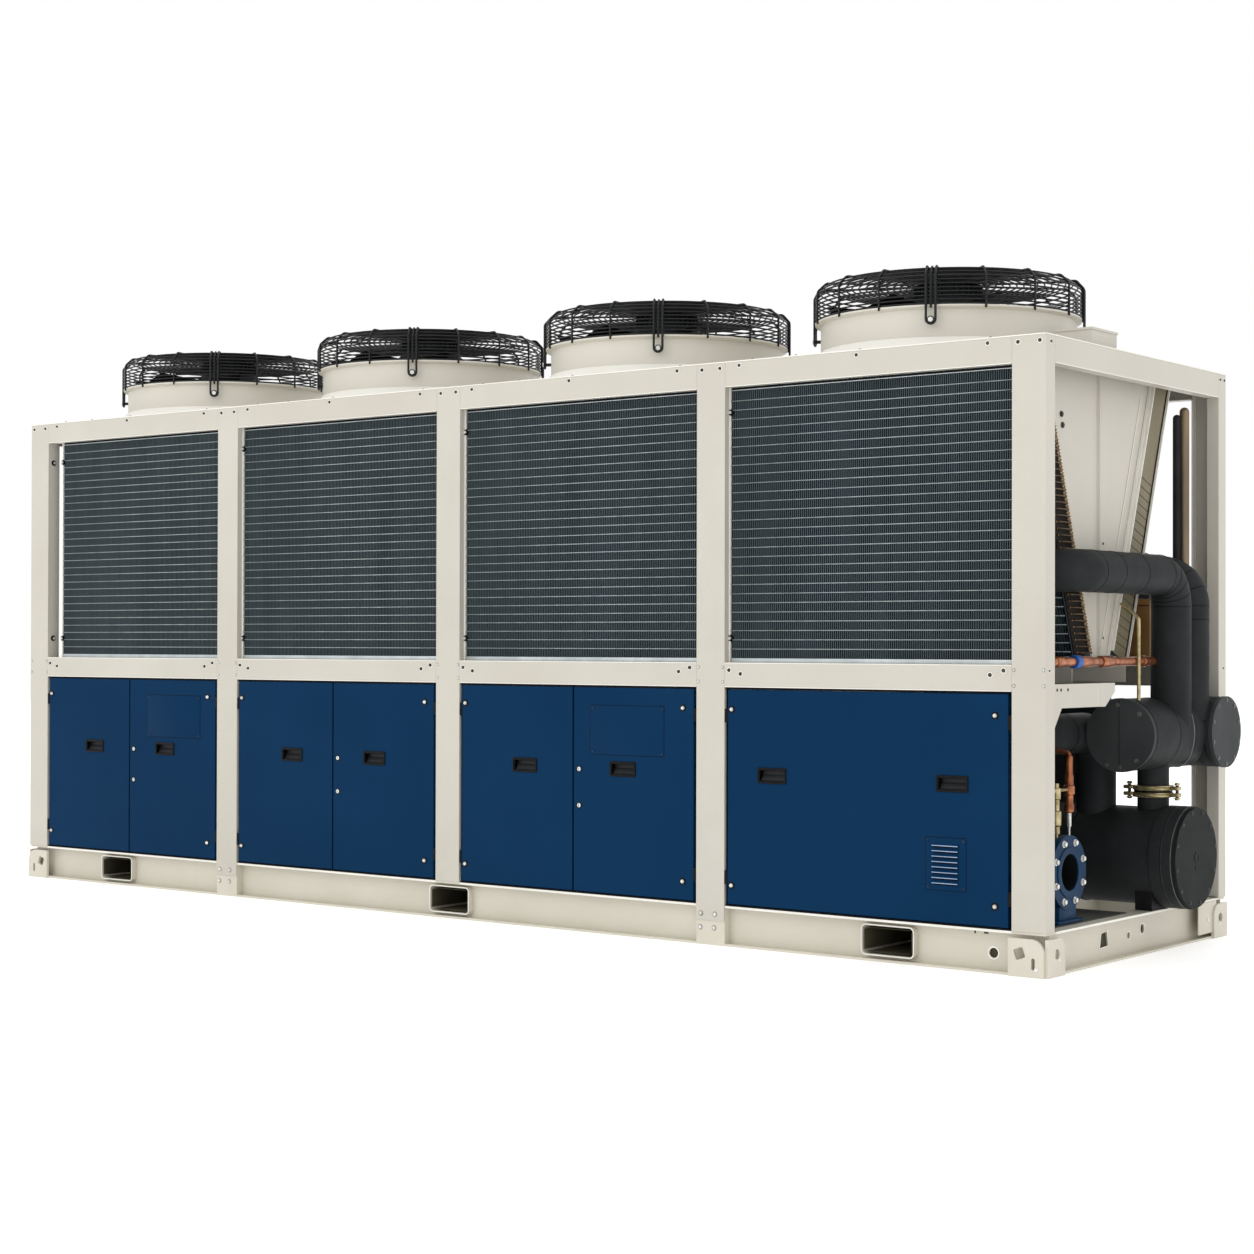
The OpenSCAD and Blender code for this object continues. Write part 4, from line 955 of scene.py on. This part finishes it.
def corner_lips():
    """Inner lips of the rear corner posts, tip and screws of the arm, and a small box on the rear rail."""
    low, high = (DEPTH - 64.6, BASE + 4), (DEPTH - 61, TOP - RAIL)
    lips = [((END - 46, *low), (END - 2, *high)), ((-END + 2, *low), (-END + 46, *high))]
    outline = ((470, ARM_LOW), (506, ARM_LOW), (ARM_OUT, 926), (ARM_OUT, ARM_HIGH), (470, ARM_HIGH))
    arm = post_x(4)

    def arm_tip(bm):
        add_prism(bm, arm - ARM_HALF, arm + ARM_HALF, outline)
    screws = spots_at([(arm + 26, y, 936) for y in (150, 178, 228)], RIGHT, 0.45)
    piece("corner_lips", [boxes(lips, CREAM), shaped(arm_tip, CREAM), bolts(screws, DARK_BOLT, 8, 3)])
    piece("rail_box", [boxes([((2255, 1388, MID), (2345, 1437, 1268))], TAN, 4.0),
                       boxes([((2257, 1386.5, 1236), (2343, 1437.5, 1240))], BEND_DARK)])


def base_details():
    """Rims of fork pockets and holes in bright cream, which is painted highlight, dark strips inside the
    pockets and dark plates behind the openings, which are painted shade, and slots and bolts of the base.
    """
    middle, wide, tall = BASE / 2, FORK_W / 2 - 6, FORK_H / 2 - 6
    web = END - SHEET - BEAM_W / 2 + 3.2
    rims, holes, shade_lining = [], [], []
    for y, facing, sign in ((12.0, FRONT, 1), (DEPTH - 12.0, BACK, -1)):
        rims += [round_frame((n * FORK_PITCH, y, middle), FORK_W + 7, FORK_H + 7, 17.0) for n in (-1, 0, 1)]
        holes.append(turned([(17, -2), (21, -2), (22, -1), (22, 1.5), (17, 1.5), (17, -2)],
                            (END - 211, y + sign * 27, 63), facing, CREAM_HIGHLIGHT, 40))
    slanted = ((-34, -26), (34, -22), (24, 30), (-22, 26), (-34, -26))
    rims.append([(web, 500 + dy, 72 + dz) for dy, dz in slanted])
    for y, z, r in ((693, 70, 12), (804, 83, 17)):
        holes.append(turned([(r, -1), (r + 4, -1), (r + 4.5, 1), (r + 2, 2), (r, 1), (r, -1)], (web, y, z),
                            RIGHT, CREAM_HIGHLIGHT, 32))
    # Dark strips along the inside of each fork pocket: painted shade.
    for x in (-FORK_PITCH, 0.0, FORK_PITCH):
        for s in (-1, 1):
            z, side = middle + s * (tall - 0.8), x + s * (wide - 0.8)
            shade_lining.append(((x - wide + 8, 16, z - 0.5), (x + wide - 8, DEPTH - 16, z + 0.5)))
            shade_lining.append(((side - 0.5, 16, middle - tall + 8), (side + 0.5, DEPTH - 16, middle + tall - 8)))
    # Dark plates behind the openings: painted shade.
    shade_backs = [((web - 10, 440, 24), (web - 7, 850, 120))]
    shade_backs += [((END - 245, y, 34), (END - 177, y + 3, 92)) for y in (46.0, DEPTH - 49.0)]
    plates = [((END - 5, 1196, 22), (END + 0.5, 1357, 138))]
    slots = [((x - w / 2, SHEET + 34.4, z - h / 2), (x + w / 2, SHEET + 35.4, z + h / 2))
             for x, z, w, h in ((2387, 127, 16, 5), (2345, 127, 5, 9), (1302, 116, 10, 5))]
    pins = spots_at([(END - 30, -8, 27)], FRONT, 0.8)
    pins += spots_at([(END + 8, 1363, 54), (END + 8, 77, 54), (END + 0.5, 1276, 72)], RIGHT, 0.8)
    piece("base_rims", [tubes(rims, 2.2, CREAM_HIGHLIGHT, 0, 8)] + holes + [
        boxes(slots, FOAM_SEAM), boxes(shade_lining + shade_backs, PAINTED_POCKET_SHADE), boxes(plates, BASE_CREAM, 3.0),
        bolts(pins, ZINC, 8, 4, 12, 0.7, 1.2)])


# Doors

def door_details():
    """Catches, grips, locks and covers of the leaves and the lift-off panel, and black seals in the gaps
    round them, dark enough to paint the shade in those gaps.
    """
    covers = {(0, 1): 120, (2, 1): 82}
    for bay in range(3):
        for side, word in ((-1, "left"), (1, "right")):
            leaf = bay_sides(bay)[0] + SIDE_GAP if side < 0 else bay_x(bay) + 4
            edge = leaf + 18 if side < 0 else leaf + DOOR_W - 47
            parts = catch_heads(spots_at([(edge, DOOR_FACE, z) for z in (853, CATCH_LOW)], FRONT))
            parts += cup_grip(leaf + (DOOR_W - HANDLE_IN if side < 0 else HANDLE_IN))
            if side > 0:
                parts += lock_pair(leaf + 27)
            if (bay, side) in covers:
                parts += flush_cover(leaf + covers[bay, side], 672, 344, 184)
            piece(f"door_{bay + 1}_{word}_details", parts, f"door_{bay + 1}_{word}_leaf")
    parts = catch_heads(spots_at([(x, DOOR_FACE, z) for x in (1376, 2440) for z in (852, CATCH_LOW)], FRONT))
    for share in (0.17, 0.815):
        parts += cup_grip(bay_sides(3)[0] + SIDE_GAP + (CLEAR - 2 * SIDE_GAP) * share)
    piece("service_panel_details", parts + louvre_plate(2178, 262, 153, 176))
    low, high = BASE, MID - RAIL
    # Black strips in the door gaps: seals that also paint the gaps' shade.
    gap_seals_and_shade = []
    for i in range(BAYS):
        left, right = bay_sides(i)
        gap_seals_and_shade += [((left + 0.4, 13, low + 1), (left + 4, 26, high - 1)),
                  ((right - 4, 13, low + 1), (right - 0.4, 26, high - 1)),
                  ((left + 4, 4, high - 7.5), (right - 4, 26, high - 0.6)),
                  ((left + 4, 6, low + 0.6), (right - 4, 26, low + 6))]
    piece("door_seals_and_gap_shade", [boxes(gap_seals_and_shade, JOINT)])


def cup_grip(x):
    """Bead round the rim of a cup handle and the slanted grip inside it."""
    rim = round_frame((x, DOOR_FACE - 2.0, HANDLE_Z), 116, 50, 8.0)
    outline = ((-1, -17), (3, -19), (18, 4), (18, 16), (18.5, -19))

    def grip(bm):
        add_prism(bm, x - 50, x + 50, [(DOOR_FACE + y, HANDLE_Z + z) for y, z in outline])
    return [tubes([rim], 2.6, PLASTIC, 0, 8), shaped(grip, GRIP)]


def lock_pair(x):
    """Two round locks with a slot, one above the other."""
    parts = []
    for z in (614, 477):
        seat = (x, DOOR_FACE, z)
        parts.append(turned([(0, -1.4), (12, -1.4), (12.5, 1), (0, 1)], seat, BACK, PLASTIC, 24))
        parts.append(turned([(0, -4.5), (6, -4.5), (8, -3.4), (8, 0), (0, 0)], seat, BACK, ZINC, 20))
        parts.append(boxes([((x - 1, -2.9, z - 5), (x + 1, -2.3, z + 5))], PLASTIC))
    return parts


def flush_cover(x0, z0, width, height):
    """Thin plate almost level with the door, with a dark joint round it and a screw in each corner."""
    x1, z1, face, back = x0 + width, z0 + height, DOOR_FACE - 1.4, DOOR_FACE + 0.5
    joint = boxes([((x0 - 2, DOOR_FACE - 0.3, z0 - 2), (x1 + 2, back, z1 + 2))], JOINT)
    plate = boxes([((x0, face, z0), (x1, back, z1))], BLUE, 0.6)
    corners = [(x, face, z) for x in (x0 + 9, x1 - 9) for z in (z0 + 9, z1 - 9)]
    return [joint, plate, bolts(spots_at(corners, FRONT, 0.8), DARK_BOLT, 4.5, 3.2, 12, 0.62, 1.05, 0.6)]


def louvre_plate(x0, z0, width, height):
    """Vent plate with eight pressed louvres over dark slots, and a bright line along each louvre's lip that
    is painted highlight.
    """
    count = 8
    pitch = (height - 50) / (count - 1)

    def build(bm):
        for k in range(count):
            add_louvre(bm, x0 + 26, x0 + width - 28, z0 + 22 + k * pitch, 11.0)
    # Bright line on each louvre: painted highlight.
    lit = bars(count, (x0 + width / 2 - 1, DOOR_FACE - 7.6, z0 + 23.6), (0, 0, pitch), (width - 54, 2.0, 2.6),
               LOUVRE_LIT)
    slots = [((x0 + 27, DOOR_FACE - 2.0, z0 + 17 + k * pitch),
              (x0 + width - 29, DOOR_FACE - 1.3, z0 + 22 + k * pitch)) for k in range(count)]
    return flush_cover(x0, z0, width, height) + [shaped(build, BLUE, 40), lit, boxes(slots, JOINT)]


def add_louvre(bm, x0, x1, z, tall):
    """One hooded louvre: a curved blade that leans out of the plate and is open below."""
    steps = 6
    blade = [(DOOR_FACE - 1.2 - 7.4 * math.sin(t * math.pi / 2), z + tall * (1 - t) ** 1.3)
             for t in (k / steps for k in range(steps + 1))]
    add_prism(bm, x0, x1, blade + [(DOOR_FACE, z)])


def plain_panel_details():
    """Fixings and black lining of the fixed panels at the rear and the left-hand end; the lining also paints
    the shade inside the compartments behind them.
    """
    low, high = BASE + 12, MID - RAIL - 8
    spots, shade_lining = [], []
    for i in range(BAYS):
        x0, x1 = bay_sides(i)
        x1 -= REAR_GAP if i == BAYS - 1 else 0
        across = (x0 + 36, (x0 + x1) / 2, x1 - 36)
        spots += spots_at([(x, DEPTH - 2, z) for x in across for z in PANEL_BOLTS], BACK)
        # Black lining inside the panel, which also paints the compartment's shade.
        shade_lining.append(((x0 + 8, DEPTH - 30, low), (x1 - 4, DEPTH - 22.2, high)))
    spots += spots_at([(-END + 2, y, z) for y in (110, DEPTH / 2, DEPTH - 110) for z in PANEL_BOLTS], LEFT)
    shade_lining.append(((-END + 22.2, 74, low), (-END + 30, DEPTH - 74, high)))
    piece("fixed_panel_bolts", catch_heads(spots, (1.6, 0.8), (4.4, 1.0)))
    piece("fixed_panel_shade_lining", [boxes(shade_lining, FOAM, 2.0)])


# Water side

def pipe_details():
    """Joints and bands of the insulation, and fixings of its end caps. The light line of the header's mitre
    and the lighter rings at the shell band's edges are painted highlight, and the dark ring at the band's
    step is painted shadow.
    """
    over, header, shell = PIPE_R + 0.9, HEADER_R + 1.0, SHELL_R + 8.5
    seams = [((PIPE_X, y, RUN_Z), BACK, over) for y in (330.0, 474.0, 655.0, LEG_1 - BEND)]
    seams += [((PIPE_X, LEG_1, RUN_Z - BEND), UP, over)]
    seams += [((PIPE_X, LEG_2, z), UP, over) for z in (REAR_RUN_Z - BEND, 1180.0)]
    for a in (share * math.pi / 2 for share in (0.25, 0.5, 0.75)):
        out, drop = BEND * math.sin(a) - BEND, BEND * math.cos(a) - BEND
        seams.append(((PIPE_X, LEG_1 + out, RUN_Z + drop), (0, math.cos(a), -math.sin(a)), over))
        seams.append(((PIPE_X + out, LEG_2, REAR_RUN_Z + drop), (math.cos(a), 0, -math.sin(a)), over))
    seams += [((HEADER_X, y, HEADER_Z), BACK, header) for y in (715.0, 905.0, 1040.0)]
    seams += [((END + x, STUB_Y, HEADER_Z), RIGHT, header) for x in (22.0, 56.0)]
    seams += [((END - x, SHELL_Y, SHELL_Z), RIGHT, SHELL_R + 3.0) for x in (318, 1000, 1700)]
    seams += [((END - 275, y, HEADER_Z), BACK, over) for y in (420.0, 640.0)]
    mitre = [(HEADER_X + HEADER_R * math.cos(a), STUB_Y - 97 - HEADER_R * max(math.cos(a), 0.0),
              HEADER_Z + HEADER_R * math.sin(a)) for a in (math.tau * k / 48 for k in range(49))]
    # Shell's end band: a dark ring at its step is painted shadow, and two lighter rings at its edges are
    # painted highlight.
    shell_bands = [bands([((END + x, SHELL_Y, SHELL_Z), RIGHT, r)], width, coat) for x, r, width, coat in (
        (43, shell - 0.1, 3.0, FOAM_SEAM), (46, shell, 2.4, FOAM_GREY_AND_HIGHLIGHT), (83, shell, 2.4, SEAM_HIGHLIGHT))]
    piece("pipe_seams", [bands(seams, 4.4, FOAM_SEAM), tubes([mitre], 2.6, SEAM_HIGHLIGHT, 0, 8)] + shell_bands)
    shell_rim = rim_spots((SHELL_FACE, SHELL_Y, SHELL_Z), RIGHT, 164, 12, 0.2, 0.6)
    rim = rim_spots((END + 89, STUB_Y, HEADER_Z), RIGHT, 116, 10, 0.3, 0.65)
    rim += spots_at([(HEADER_X + x, 681, HEADER_Z + z) for x, z in
                     ((-10, 106), (-52, -102), (-2, -114), (63, -88), (73, 76))], FRONT, 0.75)
    joint = boxes([((HEADER_X - 5, 680.4, HEADER_Z - 126), (HEADER_X - 3, 681.5, HEADER_Z + 126))], FOAM_SEAM)
    plug = [turned([(0, 0), (20, 0), (20, 1.4), (15, 2.2), (11, 0.6), (0, 0.4)],
                   (SHELL_FACE, SHELL_Y + 4, SHELL_Z + 2), RIGHT, FOAM_SEAM),
            turned([(0, 0), (9, 0), (9, 1.2), (0, 1.4)], (SHELL_FACE, SHELL_Y, SHELL_Z - 36), RIGHT,
                   FOAM_SEAM)]
    piece("cap_fixings", [bolts(rim, CAP_BOLT, 8, 3), bolts(shell_rim, FOAM_GREY_AND_HIGHLIGHT, 8, 3), joint] + plug)


def neck_clamp():
    """Two grooved brass rings on a dark gasket, drawn together by bolted ears."""
    x, y, z = seat = (HEADER_X, SHELL_Y, 538.0)
    ear_x = (x - 92, x + 92)
    parts = [turned([(56, 8), (68, 8), (68, 42), (56, 42), (56, 8)], seat, UP, FOAM_SEAM, 48)]
    for low in (3, 28):
        ring = ((56, 0), (70, 0), (73, 4), (71, 8.5), (73, 13), (70, 17), (56, 17), (56, 0))
        parts.append(turned([(r, low + d) for r, d in ring], seat, UP, BRASS))
    parts.append(boxes([((ex - 20, y - 13, z + low), (ex + 12, y + 13, z + low + 14))
                        for ex in ear_x for low in (5, 29)], BRASS, 4.0))
    parts.append(tubes([[(ex, y, z + 2), (ex, y, z + 49)] for ex in ear_x], 6, DARK_BOLT, 0, 10))
    heads = spots_at([(ex, y, z + 48) for ex in ear_x], UP) + spots_at([(ex, y, z + 2) for ex in ear_x], DOWN)
    parts.append(bolts(heads, BRASS, 10, 7))
    piece("neck_clamp_rings", parts, stands_for=("neck_clamp",))


def copper_line():
    """Copper line with its sleeves and collar, which ends in the upper pipe, and a thin brass tube."""
    x, z = END - 50, 1029.0
    parts = [turned([(16, a), (r - 1, a), (r, a + 3), (r, b - 3), (r - 1, b), (16, b)], (x, 0, z), BACK,
                    COPPER, 32)
             for a, b, r in ((158, 214, 18.5), (330, 420, 19), (491, 583, 20.5), (815, 842, 20))]
    parts.append(turned([(16, 292), (22, 292), (23, 296), (23, 326), (22, 330), (16, 330)], (x, 0, z), BACK,
                        COLLAR, 32))
    parts.append(tubes([[(END - 30, 756, 888), (END - 30, 756, 1178), (END - 60, 756, 1210),
                         (END - 104, 770, 1232)]], 6.5, BRASS, 16, 10))
    parts.append(tubes([[(x, 110, 950), (x, 110, z), (x, LEG_1 - PIPE_R + 24, z)]], 16, COPPER, 40, 20))
    piece("copper_line_sleeves", parts, stands_for=("copper_line",))


def standpipes():
    """Two slim upright pipes with domed ends beside the rear corner post; the black one also stands for the
    painted shade on the steel pipe's left side.
    """
    low, x, y = 884, END - 95, 1252
    for name, dx, dy, radius, top, coat, slot, stands_for in (
            ("standpipe_steel", 10, 8, 18, 1952, STEEL_PIPE, "pipe_steel", ("rear_standpipe",)),
            ("standpipe_black_and_shade", -12, -9, 15, 1928, FOAM, "black_insulation", ())):
        angles = [k * math.pi / 12 for k in range(6)]
        dome = [(radius * math.cos(a), top + radius * math.sin(a)) for a in angles]
        profile = [(0, low), (radius, low)] + dome + [(0, top + radius)]
        piece(name, [turned(profile, (x + dx, y + dy, 0), UP, coat, 32)], stands_for=stands_for)


def service_valve():
    """Copper tube with a bright tip, and the brass valve that joins it, beside the pump."""
    x, y, valve_y = END - 150, 461, 366
    tube = turned([(0, 705), (10, 705), (13, 702), (13, 640), (15, 636), (15, 604), (19, 600), (19, 572),
                   (14, 566), (14, 540), (17, 534), (17, 512), (9, 506), (0, 506)], (x, y, 0), UP, COPPER, 28)
    tip = turned([(0, 506), (8, 506), (8, 462), (4, 456), (4, 430), (0, 430)], (x, y, 0), UP, ZINC, 20)
    stem = tubes([[(x, y, 690), (x, y, 712), (x - 90, y, 726)]], 9, COPPER, 12, 12)
    valve = turned([(0, 612), (9, 612), (9, 598), (15, 596), (15, 560), (11, 556), (11, 520), (17, 516),
                    (17, 470), (12, 464), (12, 440), (0, 440)], (x, valve_y, 0), UP, BRASS, 12)
    cross = boxes([((x - 6, valve_y - 22, 582), (x + 6, valve_y + 34, 594))], BRASS, 2.0)
    joined = tubes([[(x, valve_y + 30, 588), (x, y, 588)], [(x, valve_y, 442), (x, valve_y, 412)]], 6, BRASS,
                   0, 10)
    piece("service_valve", [tube, tip, stem, valve, cross, joined])


def pump_details():
    """Raised face, bolts, foot and motor fins of the pump."""
    seat = (PUMP_X, PUMP_Y, PUMP_Z)
    spots = rim_spots(seat, RIGHT, 105, 8, math.pi / 8)
    ring = turned([(62.5, 0), (62.5, 4), (84, 4), (86, 2), (86, 0), (62.5, 0)], seat, RIGHT, PUMP_BLUE)
    bore = turned([(0, -120), (60, -120), (62, -1), (62.4, -1), (62.4, -122), (0, -122)], seat, RIGHT,
                  FOAM_SEAM)
    foot = boxes([((PUMP_X - 120, PUMP_Y - 62, BASE + 6), (PUMP_X - 4, PUMP_Y + 62, PUMP_Z - 112)),
                  ((PUMP_X - 130, PUMP_Y - 92, BASE + 3), (PUMP_X + 8, PUMP_Y + 92, BASE + 16))],
                 PUMP_BLUE, 5.0)
    piece("pump_flange_details", [bolts(spots, ZINC, 9.5, 8, 6, 0.9, 1.25, 2.5), ring, bore, foot])
    fins = grown(FIN_RING, None, {"Count": 36, "Centre": (0, 0, 0), "Radius": 122 * MM,
                                  "Fin Size": Vector((14, 3, 300)) * MM}, PUMP_BLUE)
    motor = Matrix.Translation(place(END - 545, PUMP_Y, PUMP_Z))
    fins.transform(motor @ Matrix.Rotation(math.pi / 2, 4, "Y"))
    piece("pump_motor_fins", [fins])


photo_camera()
studio()
finish_solids()
rounded_solids()
fans()
front_grilles()
coil_faces()
coil_ends()
v_panel_details()
frame_bolts()
lit_edges()
corner_lips()
base_details()
door_details()
plain_panel_details()
pipe_details()
neck_clamp()
copper_line()
standpipes()
service_valve()
pump_details()
